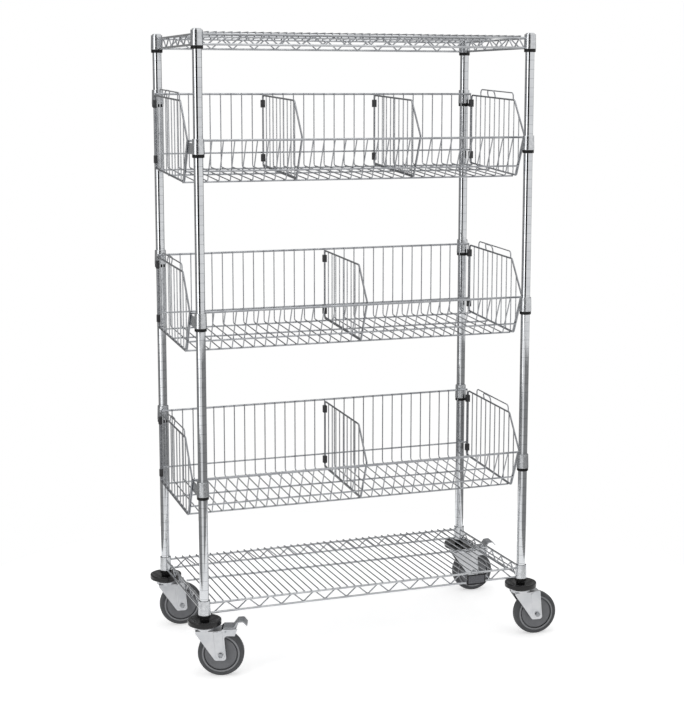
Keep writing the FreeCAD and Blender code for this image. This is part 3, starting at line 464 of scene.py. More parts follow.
@dataclass
class WireRun:
    """One wire as a line of corners.

    Attributes:
        corners: Points that the wire's axis bends at.
        swells: Section scale at each point, or nothing for a plain wire with bevelled ends.
    """

    corners: list[Point]
    swells: list[float] | None = None

    def bevelled(self, bevel: float) -> tuple[list[Vector], list[float]]:
        """Adds a short bevel at both cut ends of a plain wire.

        Args:
            bevel: Length of the bevel.

        Returns:
            The wire's points and a section scale for each.
        """
        points = [Vector(corner) for corner in self.corners]
        if self.swells:
            return points, self.swells
        first = points[0] + (points[1] - points[0]).normalized() * bevel
        last = points[-1] + (points[-2] - points[-1]).normalized() * bevel
        points = [points[0], first, *points[1:-1], last, points[-1]]
        return points, [END_SCALE] + [1.0] * (len(points) - 2) + [END_SCALE]


@dataclass
class Copy:
    """One copy of a repeated shape.

    Attributes:
        place: Where it goes.
        turn: Its angles in radians.
        size: Its scale.
    """

    place: Point
    turn: Point = (0.0, 0.0, 0.0)
    size: float = 1.0


def add_object(name: str, mesh: bpy.types.Mesh) -> bpy.types.Object:
    """Puts a mesh into the scene as an object.

    Args:
        name: Name of the object.
        mesh: Its mesh.

    Returns:
        The object.
    """
    thing = bpy.data.objects.new(name, mesh)
    bpy.context.scene.collection.objects.link(thing)
    return thing


@dataclass
class Piece:
    """Visible piece that Geometry Nodes make, with its slot, finish, CAD nodes and body.

    Attributes:
        name: Name of the piece.
        slot: Its material slot.
        nodes: CAD nodes that it stands for.
        finish: Its finish, where it isn't the slot's usual one.
        body: Body that it rides on.
    """

    name: str
    slot: Slot
    nodes: tuple[str, ...] = ()
    finish: Finish | None = None
    body: str = "rack"

    def grow(self, mesh: bpy.types.Mesh, tree: bpy.types.NodeTree,
             values: dict[str, object]) -> bpy.types.Object:
        """Runs a tree and keeps its result as a plain mesh without a modifier.

        Args:
            mesh: Mesh with the polylines or points that the tree starts from.
            tree: Geometry Nodes tree.
            values: Values of the tree's named inputs, apart from the material.

        Returns:
            Object with the finished mesh.
        """
        values = {**values, "Material": (self.finish or SLOT_FINISH[self.slot]).material()}
        thing = add_object(self.name, mesh)
        modifier = thing.modifiers.new(tree.name, "NODES")
        modifier.node_group = tree
        for item in tree.interface.items_tree:
            if item.in_out == "INPUT" and item.name in values:
                modifier[item.identifier] = values[item.name]
        evaluated = thing.evaluated_get(bpy.context.evaluated_depsgraph_get())
        finished = bpy.data.meshes.new_from_object(evaluated)
        thing.modifiers.clear()
        thing.data = finished
        finished.name = self.name
        return thing

    def settle(self, thing: bpy.types.Object) -> None:
        """Makes the piece ride on its body, hides the CAD nodes that it stands for, and reports it.

        Args:
            thing: Object with the finished mesh.
        """
        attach(thing, self.body)
        if self.nodes:
            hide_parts(*self.nodes)
        log.info("%s: %d faces on %s", self.name, len(thing.data.polygons), self.body)

    def sweep(self, runs: list[WireRun], diameter: float, bend: float = 0.0, sides: int = 12) -> None:
        """Makes the piece from round wires.

        Args:
            runs: Wires to sweep.
            diameter: Their diameter.
            bend: Bend radius of their axes.
            sides: Faces round a wire.
        """
        points: list[Vector] = []
        edges: list[tuple[int, int]] = []
        swells: list[float] = []
        for run in runs:
            corners, scales = run.bevelled(diameter * END_BEVEL)
            start = len(points)
            points += [corner * MM for corner in corners]
            swells += scales
            edges += [(index, index + 1) for index in range(start, len(points) - 1)]
        mesh = bpy.data.meshes.new(self.name)
        mesh.from_pydata(points, edges, [])
        mesh.attributes.new("swell", "FLOAT", "POINT").data.foreach_set("value", swells)
        self.settle(self.grow(mesh, SWEEP, {
            "Diameter": diameter * MM, "Bend Radius": bend * MM, "Bend Steps": BEND_STEPS, "Sides": sides}))

    def repeat(self, shape: bpy.types.Object, copies: list[Copy], spread: float = 0.0) -> None:
        """Makes the piece from copies of a shape and removes the shape itself.

        Args:
            shape: Object to copy, at the origin.
            copies: Where the copies go.
            spread: Share by which a copy may be smaller than its size.
        """
        mesh = bpy.data.meshes.new(self.name)
        mesh.from_pydata([Vector(copy.place) * MM for copy in copies], [], [])
        turns = [angle for copy in copies for angle in copy.turn]
        mesh.attributes.new("turn", "FLOAT_VECTOR", "POINT").data.foreach_set("vector", turns)
        sizes = [copy.size for copy in copies]
        mesh.attributes.new("size", "FLOAT", "POINT").data.foreach_set("value", sizes)
        thing = self.grow(mesh, REPEAT, {"Shape": shape, "Size Spread": spread, "Seed": SEED})
        bpy.data.objects.remove(shape)
        self.settle(thing)


# Single shapes, made at the origin and then copied into place

# Distance from a rounded corner at which a second point holds the flat, in roundings
HOLD = 1.4


def shape_object(name: str, shape: bmesh.types.BMesh) -> bpy.types.Object:
    """Turns a finished mesh under construction into an object.

    Args:
        name: Name of the object.
        shape: The mesh under construction, which is freed.

    Returns:
        The object.
    """
    bmesh.ops.recalc_face_normals(shape, faces=shape.faces)
    mesh = bpy.data.meshes.new(name)
    shape.to_mesh(mesh)
    shape.free()
    return add_object(name, mesh)


def lathe(name: str, section: list[SidePoint], sides: int = 64) -> bpy.types.Object:
    """Turns a closed section about Z.

    Args:
        name: Name of the object.
        section: Radius and height of each corner, in order round the section.
        sides: Faces round the axis.

    Returns:
        Object with the turned shape at the origin.
    """
    shape = bmesh.new()
    rings = []
    for side in range(sides):
        angle = 2 * math.pi * side / sides
        across, along = MM * math.cos(angle), MM * math.sin(angle)
        rings.append([shape.verts.new((radius * across, radius * along, height * MM))
                      for radius, height in section])
    for ring, following in zip(rings, rings[1:] + rings[:1]):
        for index in range(len(section)):
            after = (index + 1) % len(section)
            shape.faces.new((ring[index], following[index], following[after], ring[after]))
    return shape_object(name, shape)


def rounded(section: list[SidePoint], radius: float, steps: int = 3) -> list[SidePoint]:
    """Rounds every corner of a closed section and holds the flats beside it with a second point.

    Args:
        section: Corners of the section.
        radius: Radius of the rounding, which takes a third of a short side at most.
        steps: Straight pieces in each rounding.

    Returns:
        Corners of the rounded section.
    """
    result: list[SidePoint] = []
    for before, corner, after in zip(section[-1:] + section[:-1], section, section[1:] + section[:1]):
        middle = Vector(corner)
        into = Vector(before) - middle
        out = Vector(after) - middle
        cut = min(radius, into.length / 3, out.length / 3)
        start = middle + into.normalized() * cut
        end = middle + out.normalized() * cut
        curve = [start.lerp(middle, step / steps).lerp(middle.lerp(end, step / steps), step / steps)
                 for step in range(steps + 1)]
        hold = [middle + into.normalized() * cut * HOLD, *curve, middle + out.normalized() * cut * HOLD]
        result += [(point.x, point.y) for point in hold]
    return result


def extruded(name: str, outline: list[SidePoint], height: float, bevel: float,
             hole: list[SidePoint] | None = None) -> bpy.types.Object:
    """Makes a block with a straight outline in XY, centred along Z, with bevelled edges.

    Args:
        name: Name of the object.
        outline: Corners of the outline.
        height: Height along Z.
        bevel: Width of the bevels.
        hole: Corners of a hole through the block, as many as the outline has.

    Returns:
        Object with the block at the origin.
    """
    shape = bmesh.new()
    loops = [outline, hole] if hole else [outline]
    levels = []
    for up in (-height / 2, height / 2):
        levels.append([[shape.verts.new((x * MM, y * MM, up * MM)) for x, y in loop] for loop in loops])
    bands = list(zip(*levels)) + (levels if hole else [])
    for first, second in bands:
        for index in range(len(outline)):
            after = (index + 1) % len(outline)
            shape.faces.new((first[index], first[after], second[after], second[index]))
    if not hole:
        for level in levels:
            shape.faces.new(level[0])
    bmesh.ops.recalc_face_normals(shape, faces=shape.faces)
    edges = [edge for edge in shape.edges if edge.calc_face_angle(0.0) > SHARP_ANGLE]
    bmesh.ops.bevel(shape, geom=edges, offset=bevel * MM, offset_type="OFFSET", segments=1, profile=0.5,
                    affect="EDGES", clamp_overlap=True)
    return shape_object(name, shape)


# The rack


@dataclass
class Plan:
    """Places and sizes that several sub-assemblies share."""

    post_x: float = 478.0
    post_y: float = 218.0
    post_foot: float = 160.0
    post_length: float = 1575.0
    post_diameter: float = 25.4
    groove_first: float = 30.0
    groove_pitch: float = 25.4
    groove_count: int = 61
    collar_height: float = 40.0
    collar_top: float = 31.6
    collar_bottom: float = 34.0
    collar_wall: float = 1.5
    rail: float = 6.0
    rail_sides: int = 16
    seat: float = 0.05

    def level(self, grooves: int) -> float:
        """Height of the top of a collar that is centred on a groove, counted from the lowest one."""
        return self.post_foot + self.groove_first + grooves * self.groove_pitch + self.collar_height / 2

    def at(self, corner: Corner, height: float) -> Point:
        """Point on a post's axis."""
        return (corner.value[0] * self.post_x, corner.value[1] * self.post_y, height)

    def collar_radius(self, depth: float) -> float:
        """Outside radius of a collar at a depth below its top."""
        return (self.collar_top + (self.collar_bottom - self.collar_top) * depth / self.collar_height) / 2


PLAN = Plan()


@dataclass
class Posts:
    """Four plated tubes with a rolled ring groove at every inch."""

    groove_depth: float = 0.8
    groove_width: float = 1.8
    groove_round: float = 0.4
    end_bevel: float = 0.5
    foot_scale: float = 0.96
    head_scale: float = 0.97
    sides: int = 48

    def run(self, corner: Corner) -> WireRun:
        """Lays out a post, with the section's scale at the edges and root of each groove.

        Args:
            corner: Corner where the post stands.

        Returns:
            The post as a run with scales.
        """
        root = 1 - 2 * self.groove_depth / PLAN.post_diameter
        shoulder = (1 + root) / 2
        half = self.groove_width / 2
        soft = self.groove_round
        shape = [(-half - soft, 1.0), (-half, shoulder), (-half + soft, root), (half - soft, root),
                 (half, shoulder), (half + soft, 1.0)]
        heights = [(0.0, self.foot_scale), (self.end_bevel, 1.0)]
        for groove in range(PLAN.groove_count):
            middle = PLAN.groove_first + groove * PLAN.groove_pitch
            heights += [(middle + offset, scale) for offset, scale in shape]
        heights += [(PLAN.post_length - self.end_bevel, 1.0), (PLAN.post_length, self.head_scale)]
        points = [PLAN.at(corner, PLAN.post_foot + height) for height, _ in heights]
        return WireRun(points, [scale for _, scale in heights])

    def build(self) -> None:
        """Makes the posts."""
        for corner in Corner:
            tube = Piece(f"grooved_tube_{corner.label}", Slot.POSTS, (f"post_{corner.label}",))
            tube.sweep([self.run(corner)], PLAN.post_diameter, sides=self.sides)


@dataclass
class Welds:
    """Small beads where resistance-welded wires cross."""

    bead: float = 3.4
    flatness: float = 0.62
    segments: int = 8
    rings: int = 5
    spread: float = 0.25

    def build(self, name: str, places: list[Copy]) -> None:
        """Makes one piece with a bead at each place.

        Args:
            name: Name of the piece.
            places: Where the beads go.
        """
        shape = bmesh.new()
        bmesh.ops.create_uvsphere(shape, u_segments=self.segments, v_segments=self.rings,
                                  radius=self.bead * MM / 2)
        bmesh.ops.scale(shape, vec=(1, 1, self.flatness), verts=shape.verts)
        Piece(name, Slot.WIRE).repeat(shape_object("weld_bead", shape), places, self.spread)


@dataclass
class Collars:
    """Tapered collars that hold a shelf or basket on the posts.

    Attributes:
        node: CAD node of the collars.
        heights: Height of each collar's top.
    """

    node: str
    heights: dict[Corner, float]
    lip: float = 0.7

    def build(self) -> None:
        """Makes the four collars as one piece."""
        top = PLAN.collar_top / 2
        bottom = PLAN.collar_bottom / 2
        section = [(top - PLAN.collar_wall, 0.0), (top, 0.0), (bottom, -PLAN.collar_height),
                   (bottom - PLAN.collar_wall, -PLAN.collar_height)]
        copies = [Copy(PLAN.at(corner, height)) for corner, height in self.heights.items()]
        piece = Piece(f"{self.node}_tapered", Slot.WIRE, (self.node,), Finish.COLLAR)
        piece.repeat(lathe("collar", rounded(section, self.lip)), copies)


@dataclass
class FlatShelf:
    """Flat wire shelf: collars, two rails on each edge with a zigzag between them, and deck wires.

    Attributes:
        name: Name of the shelf in the frame.
        top: Height of its collars' top.
        welds: Weld beads, gathered while the wires are laid out.
    """

    name: str
    top: float
    truss: float = 27.0
    zigzag_wire: float = 3.8
    zigzag_pitch: float = 64.0
    zigzag_bend: float = 5.0
    deck_wire: float = 3.8
    deck_pitch: float = 21.3
    deck_drop: float = 5.0
    into_collar: float = 0.6
    rail_weld: float = 2.4
    zigzag_weld: float = 1.1
    zigzag_weld_inset: float = 2.0
    deck_weld: float = 1.15
    welds: list[Copy] = field(default_factory=list)

    @property
    def rail_heights(self) -> tuple[float, float]:
        """Heights of the upper and lower rails' axes."""
        upper = self.top - self.deck_drop - self.deck_wire / 2 - PLAN.seat - PLAN.rail / 2
        return upper, upper - self.truss

    @property
    def inset(self) -> float:
        """Distance of the zigzag wires' plane inside the rails' axes."""
        return PLAN.rail / 2 + PLAN.seat + self.zigzag_wire / 2

    def rails(self) -> list[WireRun]:
        """Lays out the edge rails, whose ends run into the collars.

        Returns:
            The upper and the lower rails.
        """
        runs = []
        for height in self.rail_heights:
            end = PLAN.collar_radius(self.top - height) - self.into_collar
            along, across = PLAN.post_x - end, PLAN.post_y - end
            for side in (-1, 1):
                y, x = side * PLAN.post_y, side * PLAN.post_x
                runs.append(WireRun([(-along, y, height), (along, y, height)]))
                runs.append(WireRun([(x, -across, height), (x, across, height)]))
                for sign in (-1, 1):
                    self.welds.append(Copy((sign * along, y, height), (0, SQUARE, 0), self.rail_weld))
                    self.welds.append(Copy((x, sign * across, height), (SQUARE, 0, 0), self.rail_weld))
        return runs

    def zigzag(self, half_length: float, fixed: float, along_x: bool) -> WireRun:
        """Lays out a zigzag wire between two rails, starting and ending at the lower one.

        Args:
            half_length: Half of the length between the collars.
            fixed: Place of the wire's plane across its run.
            along_x: Whether the wire runs along X.

        Returns:
            The wire.
        """
        periods = math.floor(2 * (half_length - self.zigzag_bend) / self.zigzag_pitch)
        upper, lower = self.rail_heights
        outside = fixed + math.copysign(self.zigzag_wire / 2, fixed)
        points: list[Point] = []
        for step in range(2 * periods + 1):
            run = (step - periods) * self.zigzag_pitch / 2
            height = upper if step % 2 else lower
            seam = height - self.zigzag_weld_inset if step % 2 else height + self.zigzag_weld_inset
            if along_x:
                points.append((run, fixed, height))
                self.welds.append(Copy((run, outside, seam), (SQUARE, 0, 0), self.zigzag_weld))
            else:
                points.append((fixed, run, height))
                self.welds.append(Copy((outside, run, seam), (0, SQUARE, 0), self.zigzag_weld))
        return WireRun(points)

    def zigzags(self) -> list[WireRun]:
        """Lays out the zigzag wires of the four edges.

        Returns:
            The four wires.
        """
        corner = PLAN.collar_bottom / 2 + self.zigzag_wire
        runs = []
        for side in (-1, 1):
            runs.append(self.zigzag(PLAN.post_x - corner, side * (PLAN.post_y - self.inset), True))
            runs.append(self.zigzag(PLAN.post_y - corner, side * (PLAN.post_x - self.inset), False))
        return runs

    def deck(self) -> list[WireRun]:
        """Lays out the deck wires from the front rail to the back rail.

        Returns:
            The wires from left to right.
        """
        span = 2 * (PLAN.post_x - PLAN.collar_bottom / 2 - self.deck_wire)
        count = math.floor(span / self.deck_pitch) + 1
        reach = PLAN.post_y + PLAN.rail / 2
        height = self.top - self.deck_drop
        seam = height - self.deck_wire / 2
        runs = []
        for index in range(count):
            x = self.deck_pitch * (index - (count - 1) / 2)
            runs.append(WireRun([(x, -reach, height), (x, reach, height)]))
            for y in (-PLAN.post_y, 0.0, PLAN.post_y):
                self.welds.append(Copy((x, y, seam), size=self.deck_weld))
        return runs

    def support(self) -> WireRun:
        """Lays out the long wire under the deck.

        Returns:
            The wire, which ends just short of the zigzag wires.
        """
        reach = PLAN.post_x - self.inset - self.zigzag_wire / 2 - PLAN.seat
        height = self.rail_heights[0]
        return WireRun([(-reach, 0, height), (reach, 0, height)])

    def wires(self, name: str, node: str, finish: Finish | None = None) -> Piece:
        """Piece of plated wire on this shelf."""
        return Piece(f"{self.name}_{name}", Slot.WIRE, (f"{self.name}_{node}",), finish)

    def build(self) -> None:
        """Makes the shelf's pieces."""
        Collars(f"{self.name}_collars", {corner: self.top for corner in Corner}).build()
        rails = self.wires("rail_wires", "edge_rails", Finish.RAIL)
        rails.sweep(self.rails(), PLAN.rail, sides=PLAN.rail_sides)
        truss = self.wires("truss_wires", "zigzag_wires")
        truss.sweep(self.zigzags(), self.zigzag_wire, self.zigzag_bend)
        self.wires("grid_wires", "deck_wires").sweep(self.deck(), self.deck_wire)
        support = self.wires("support_wire", "deck_wires", Finish.RAIL)
        support.sweep([self.support()], PLAN.rail, sides=PLAN.rail_sides)
        Welds().build(f"{self.name}_welds", self.welds)


def meet(first: Line, second: Line) -> SidePoint:
    """Finds the crossing of two lines.

    Args:
        first: Two points on the first line.
        second: Two points on the second line.

    Returns:
        The crossing.
    """
    (ax, ay), (bx, by) = first
    (cx, cy), (dx, dy) = second
    reach = (cx - ax) * (dy - cy) - (cy - ay) * (dx - cx)
    share = reach / ((bx - ax) * (dy - cy) - (by - ay) * (dx - cx))
    return (ax + share * (bx - ax), ay + share * (by - ay))


def shifted(start: SidePoint, end: SidePoint, inwards: float) -> Line:
    """Moves a line to its left, seen from its first point to its second.

    Args:
        start: First point of the line.
        end: Second point of the line.
        inwards: Distance to move it.

    Returns:
        Two points on the moved line.
    """
    length = math.dist(start, end)
    step = (inwards * (start[1] - end[1]) / length, inwards * (end[0] - start[0]) / length)
    return ((start[0] + step[0], start[1] + step[1]), (end[0] + step[0], end[1] + step[1]))


def height_at(depth: float, corners: list[SidePoint]) -> float:
    """Finds the height of a run of straight lines.

    Args:
        depth: Depth at which the height is wanted.
        corners: Corners of the run, from back to front.

    Returns:
        The height there.
    """
    for start, end in zip(corners, corners[1:]):
        if start[0] <= depth <= end[0]:
            return start[1] + (end[1] - start[1]) * (depth - start[0]) / (end[0] - start[0])
    raise ValueError("depth lies outside the outline")


@dataclass
class LongWire:
    """Wire along the whole basket.

    Attributes:
        axis: Depth and height of its axis.
        towards: Direction from its axis to the cross wires.
        diameter: Its diameter.
        tilt: Angle about X of the weld beads on it.
    """

    axis: SidePoint
    towards: SidePoint
    diameter: float
    tilt: float

    @property
    def seam(self) -> SidePoint:
        """Where the cross wires touch it."""
        return tuple(at + way * self.diameter / 2 for at, way in zip(self.axis, self.towards))


@dataclass
class Clip:
    """Black clip that holds the back edge of a panel to a cross wire, with its origin on that wire."""

    width: float = 11.0
    height: float = 22.0
    wall: float = 2.0
    drop: float = 13.0
    edge: float = 0.8

    def shape(self, cross_wire: float, panel_wire: float) -> bpy.types.Object:
        """Makes a block with a slot for both wires.

        Args:
            cross_wire: Diameter of the cross wire.
            panel_wire: Diameter of the panel's frame wire in front of it.

        Returns:
            The clip at the origin.
        """
        back = cross_wire / 2 + PLAN.seat
        front = -(cross_wire / 2 + PLAN.seat + panel_wire + PLAN.seat)
        half, slot = self.width / 2, panel_wire / 2 + PLAN.seat
        block = [(-half, front - self.wall), (half, front - self.wall), (half, back + self.wall),
                 (-half, back + self.wall)]
        hole = [(-slot, front), (slot, front), (slot, back), (-slot, back)]
        return extruded("clip", block, self.height, self.edge, hole)


@dataclass
class Basket:
    """Sloped wire basket between the posts, with end panels and clip-in dividers.

    A side outline is given as depth forward of the back wall and height from the back collars' top.

    Attributes:
        name: Name of the basket in the frame.
        grooves: Groove of its back collars.
        dividers: Node name and wished place along X of each divider.
        welds: Weld beads, gathered while the wires are laid out.
    """

    name: str
    grooves: int
    dividers: dict[str, float]
    front_grooves: int = 5
    overhang: float = 15.0
    cross_wire: float = 3.2
    cross_pitch: float = 31.75
    long_wire: float = 4.8
    bend: float = 8.0
    wire_sides: int = 14
    rim_drop: float = 12.0
    middle_drop: float = 180.0
    floor_back: SidePoint = (0.0, -220.0)
    floor_front_drop: float = 243.0
    floor_depths: tuple[float, ...] = (14.0, 135.0)
    floor_front_inset: float = 18.0
    lip_setback: float = 53.0
    lip_rise: float = -4.0
    front_lean: float = 49.0
    wall_wire_share: float = 0.74
    hanger_thickness: float = 3.0
    hanger_height: float = 29.0
    hanger_edge: float = 0.6
    panel_wire: float = 5.0
    rod: float = 3.2
    rod_pitch: float = 32.0
    rod_weld: float = 1.25
    panel_drop: float = 15.5
    panel_top_fall: float = 13.5
    panel_front_lean: float = 68.0
    loop_wire: float = 3.6
    loop_height: float = 20.0
    loop_back: float = 64.0
    loop_bend: float = 10.0
    loop_weld: float = 1.4
    hook_back: float = 116.0
    hook_width: float = 48.0
    hook_lean: float = 4.0
    clip: Clip = field(default_factory=Clip)
    welds: list[Copy] = field(default_factory=list)

    @property
    def node(self) -> str:
        """Start of the names of the basket's CAD nodes."""
        return f"{self.name}_basket"

    @property
    def top(self) -> float:
        """Height of the back collars' top."""
        return PLAN.level(self.grooves)

    @property
    def drop(self) -> float:
        """How much lower the front collars are."""
        return self.front_grooves * PLAN.groove_pitch

    @property
    def rim_y(self) -> float:
        """Place of the back rim's axis."""
        return PLAN.post_y - PLAN.collar_bottom / 2 - PLAN.seat - PLAN.rail / 2

    @property
    def wall_y(self) -> float:
        """Place of the back wall's cross wires."""
        return self.rim_y - PLAN.rail / 2 - PLAN.seat - self.cross_wire / 2

    @property
    def lip(self) -> SidePoint:
        """Front ends of the cross wires."""
        return (self.wall_y + PLAN.post_y - self.lip_setback, self.lip_rise - self.drop)

    @property
    def floor_front(self) -> SidePoint:
        """Front corner of the floor."""
        return (self.lip[0] - self.front_lean, -self.floor_front_drop)

    @property
    def wall_rise(self) -> float:
        """Height of the front wall."""
        return self.floor_front_drop + self.lip[1]

    @property
    def panel_x(self) -> float:
        """Place of the right end panel."""
        return PLAN.post_x + self.overhang

    @property
    def panel_top(self) -> list[SidePoint]:
        """Back and front corner of a panel's upper edge."""
        front = (self.lip[0] - self.panel_front_lean, -self.panel_drop - self.panel_top_fall)
        return [(0.0, -self.panel_drop), front]

    @property
    def sink(self) -> float:
        """Distance from the axis of a panel's frame wire to the rod ends that are welded into it."""
        return self.panel_wire / 3

    @property
    def outermost(self) -> float:
        """Place of the right outermost cross wire, beside the end panel."""
        return self.panel_x - self.gap(self.panel_wire)

    def gap(self, diameter: float) -> float:
        """Distance between the axes of a cross wire and a wire beside it."""
        return self.cross_wire / 2 + PLAN.seat + diameter / 2

    def places(self) -> list[float]:
        """Places of the cross wires along X."""
        steps = round(2 * self.outermost / self.cross_pitch)
        return [self.outermost * (2 * step / steps - 1) for step in range(steps + 1)]

    def spot(self, x: float, point: SidePoint) -> Point:
        """Point of a side outline at a place along X."""
        return (x, self.wall_y - point[0], self.top + point[1])

    def on_side(self, x: float, points: list[SidePoint]) -> list[Point]:
        """Points of a side outline at a place along X."""
        return [self.spot(x, point) for point in points]

    def cross_runs(self) -> list[WireRun]:
        """Lays out the cross wires: back wall, floor and front wall in one piece.

        Returns:
            The wires from left to right.
        """
        start = (0.0, PLAN.rail / 2 - self.rim_drop)
        outline = [start, self.floor_back, self.floor_front, self.lip]
        return [WireRun(self.on_side(x, outline)) for x in self.places()]

    def back_wires(self) -> list[LongWire]:
        """Places the rim and the middle wire of the back wall.

        Returns:
            Both wires.
        """
        out = (1.0, 0.0)
        rim = LongWire((self.wall_y - self.rim_y, -self.rim_drop), out, PLAN.rail, SQUARE)
        middle = LongWire((-self.gap(self.long_wire), -self.middle_drop), out, self.long_wire, SQUARE)
        return [rim, middle]

    def floor_wires(self) -> list[LongWire]:
        """Places the wires under the floor.

        Returns:
            The wires from back to front.
        """
        slope = (self.floor_front_drop + self.floor_back[1]) / self.floor_front[0]
        wires = []
        for depth in (*self.floor_depths, self.floor_front[0] - self.floor_front_inset):
            height = self.floor_back[1] - slope * depth - self.gap(self.long_wire)
            wires.append(LongWire((depth, height), (0.0, 1.0), self.long_wire, 0.0))
        return wires

    def front_wires(self) -> list[LongWire]:
        """Places the lip and the lower wire of the front wall.

        Returns:
            Both wires.
        """
        wall = math.hypot(self.front_lean, self.wall_rise)
        out = (self.wall_rise / wall, -self.front_lean / wall)
        wires = []
        for share, diameter in ((0.0, PLAN.rail), (self.wall_wire_share, self.long_wire)):
            step = self.gap(diameter)
            depth = self.lip[0] - share * self.front_lean + step * out[0]
            height = self.lip[1] - share * self.wall_rise + step * out[1]
            wires.append(LongWire((depth, height), (-out[0], -out[1]), diameter, SQUARE))
        return wires

    def long_runs(self, diameter: float) -> list[WireRun]:
        """Lays out the long wires of one diameter, with a weld bead at each cross wire.

        Args:
            diameter: Diameter of the wanted wires.

        Returns:
            The wires from the back rim to the front lip.
        """
        half = self.panel_x - self.panel_wire / 2 - PLAN.seat
        runs = []
        for wire in self.back_wires() + self.floor_wires() + self.front_wires():
            if wire.diameter == diameter:
                runs.append(WireRun([self.spot(x, wire.axis) for x in (-half, half)]))
                self.welds += [Copy(self.spot(x, wire.seam), (wire.tilt, 0, 0)) for x in self.places()]
        return runs

    def panel_corners(self, inwards: float) -> list[SidePoint]:
        """Finds the corners of an end panel or divider.

        Args:
            inwards: How far the panel stands inside the cross wires.

        Returns:
            Upper back, upper front, lip, lower front and lower back corner.
        """
        panel_back, panel_front = self.panel_top
        back = shifted(panel_back, self.floor_back, inwards)
        floor = shifted(self.floor_back, self.floor_front, inwards)
        front = shifted(self.floor_front, self.lip, inwards)
        top = (panel_front, panel_back)
        slope = (self.lip, panel_front)
        return [meet(back, top), panel_front, meet(slope, front), meet(front, floor), meet(floor, back)]

    def frame_run(self, x: float, inwards: float) -> WireRun:
        """Lays out the frame wire of a panel, butt-welded in the middle of its back run.

        Args:
            x: Place of the panel along X.
            inwards: How far it stands inside the cross wires.

        Returns:
            The wire.
        """
        corners = self.panel_corners(inwards)
        joint = (corners[0][0], (corners[0][1] + corners[4][1]) / 2)
        points = self.on_side(x, [joint, *corners, joint])
        return WireRun(points, [1.0] * len(points))

    def rod_runs(self, x: float, inwards: float) -> list[WireRun]:
        """Lays out the upright rods of a panel, each welded to its frame wire.

        Args:
            x: Place of the panel along X.
            inwards: How far it stands inside the cross wires.

        Returns:
            The rods from back to front.
        """
        back_top, front_top, lip, floor_front, floor_back = self.panel_corners(inwards)
        runs = []
        depth = back_top[0] + self.rod_pitch
        while depth < lip[0] - self.rod_pitch:
            upper = height_at(depth, [back_top, front_top, lip]) - self.sink
            lower = height_at(depth, [floor_back, floor_front, lip]) + self.sink
            runs.append(WireRun(self.on_side(x, [(depth, lower), (depth, upper)])))
            for seam in (upper - self.sink / 2, lower + self.sink / 2):
                self.welds.append(Copy(self.spot(x, (depth, seam)), size=self.rod_weld))
            depth += self.rod_pitch
        return runs

    def loop_runs(self, x: float, inward: int) -> list[WireRun]:
        """Lays out the upright loop on an end panel and, inside it, an arched hook that leans inwards.

        Args:
            x: Place of the panel along X.
            inward: Sign of the direction along X to the basket's middle.

        Returns:
            The loop and the hook.
        """
        top = self.panel_top
        sets = ((self.loop_back, top[1][0] - self.bend, 0.0),
                (self.hook_back, self.hook_back + self.hook_width, inward * self.hook_lean))
        runs = []
        for back, front, lean in sets:
            feet = [(depth, height_at(depth, top) + self.sink) for depth in (back, front)]
            heads = [(depth, height_at(depth, top) + self.loop_height) for depth in (back, front)]
            points = self.on_side(x, feet[:1]) + self.on_side(x + lean, heads) + self.on_side(x, feet[1:])
            runs.append(WireRun(points))
            self.welds += [Copy(self.spot(x, foot), size=self.loop_weld) for foot in feet]
        return runs

    def panel(self, node: str, x: float, inwards: float) -> None:
        """Makes the frame wire and the rods of an end panel or a divider.

        Args:
            node: CAD node of the panel.
            x: Its place along X.
            inwards: How far it stands inside the cross wires.
        """
        bent = Piece(f"{node}_frame_wire", Slot.WIRE, (node,), Finish.FRAME)
        bent.sweep([self.frame_run(x, inwards)], self.panel_wire, self.bend, self.wire_sides)
        Piece(f"{node}_rods", Slot.WIRE, (node,), Finish.RAIL).sweep(self.rod_runs(x, inwards), self.rod)

    def clip_copies(self, x: float, turned: float) -> list[Copy]:
        """Places the upper and the lower clip on the back edge of a panel.

        Args:
            x: Place of the cross wire that they hold.
            turned: Angle about Z from that wire's front to the panel's wire.

        Returns:
            Both clips.
        """
        upper = -(self.panel_drop + self.clip.drop + self.clip.height / 2)
        lower = -(self.middle_drop + self.long_wire / 2 + self.clip.wall + self.clip.height / 2)
        return [Copy(self.spot(x, (0.0, height)), (0, 0, turned)) for height in (upper, lower)]

    def hangers(self) -> None:
        """Makes the plates from the front collars to the basket's front corners."""
        x = self.panel_x - self.panel_wire / 2 - PLAN.seat - self.hanger_thickness / 2
        aside = x - self.hanger_thickness / 2 - PLAN.post_x
        near = math.sqrt((PLAN.collar_bottom / 2) ** 2 - aside ** 2) - PLAN.seat
        under = PLAN.collar_height - self.hanger_height
        lean = self.front_lean / self.wall_rise
        clear = (self.cross_wire / 2 + PLAN.seat) * math.hypot(1, lean)
        upper, lower = [self.lip_setback + lean * (depth + self.lip_rise) - clear
                        for depth in (under, PLAN.collar_height)]
        outline = [(near, -under), (upper, -under), (lower, -PLAN.collar_height),
                   (near, -PLAN.collar_height)]
        copies = [Copy((side * x, -PLAN.post_y, self.top - self.drop), (SQUARE, 0, SQUARE))
                  for side in (-1, 1)]
        plates = Piece(f"{self.node}_hangers", Slot.WIRE, (f"{self.node}_collars",), Finish.COLLAR)
        plates.repeat(extruded("hanger", outline, self.hanger_thickness, self.hanger_edge), copies)

    def wires(self, name: str, node: str) -> Piece:
        """Piece of plated wire on this basket."""
        return Piece(f"{self.node}_{name}", Slot.WIRE, (f"{self.node}_{node}",))

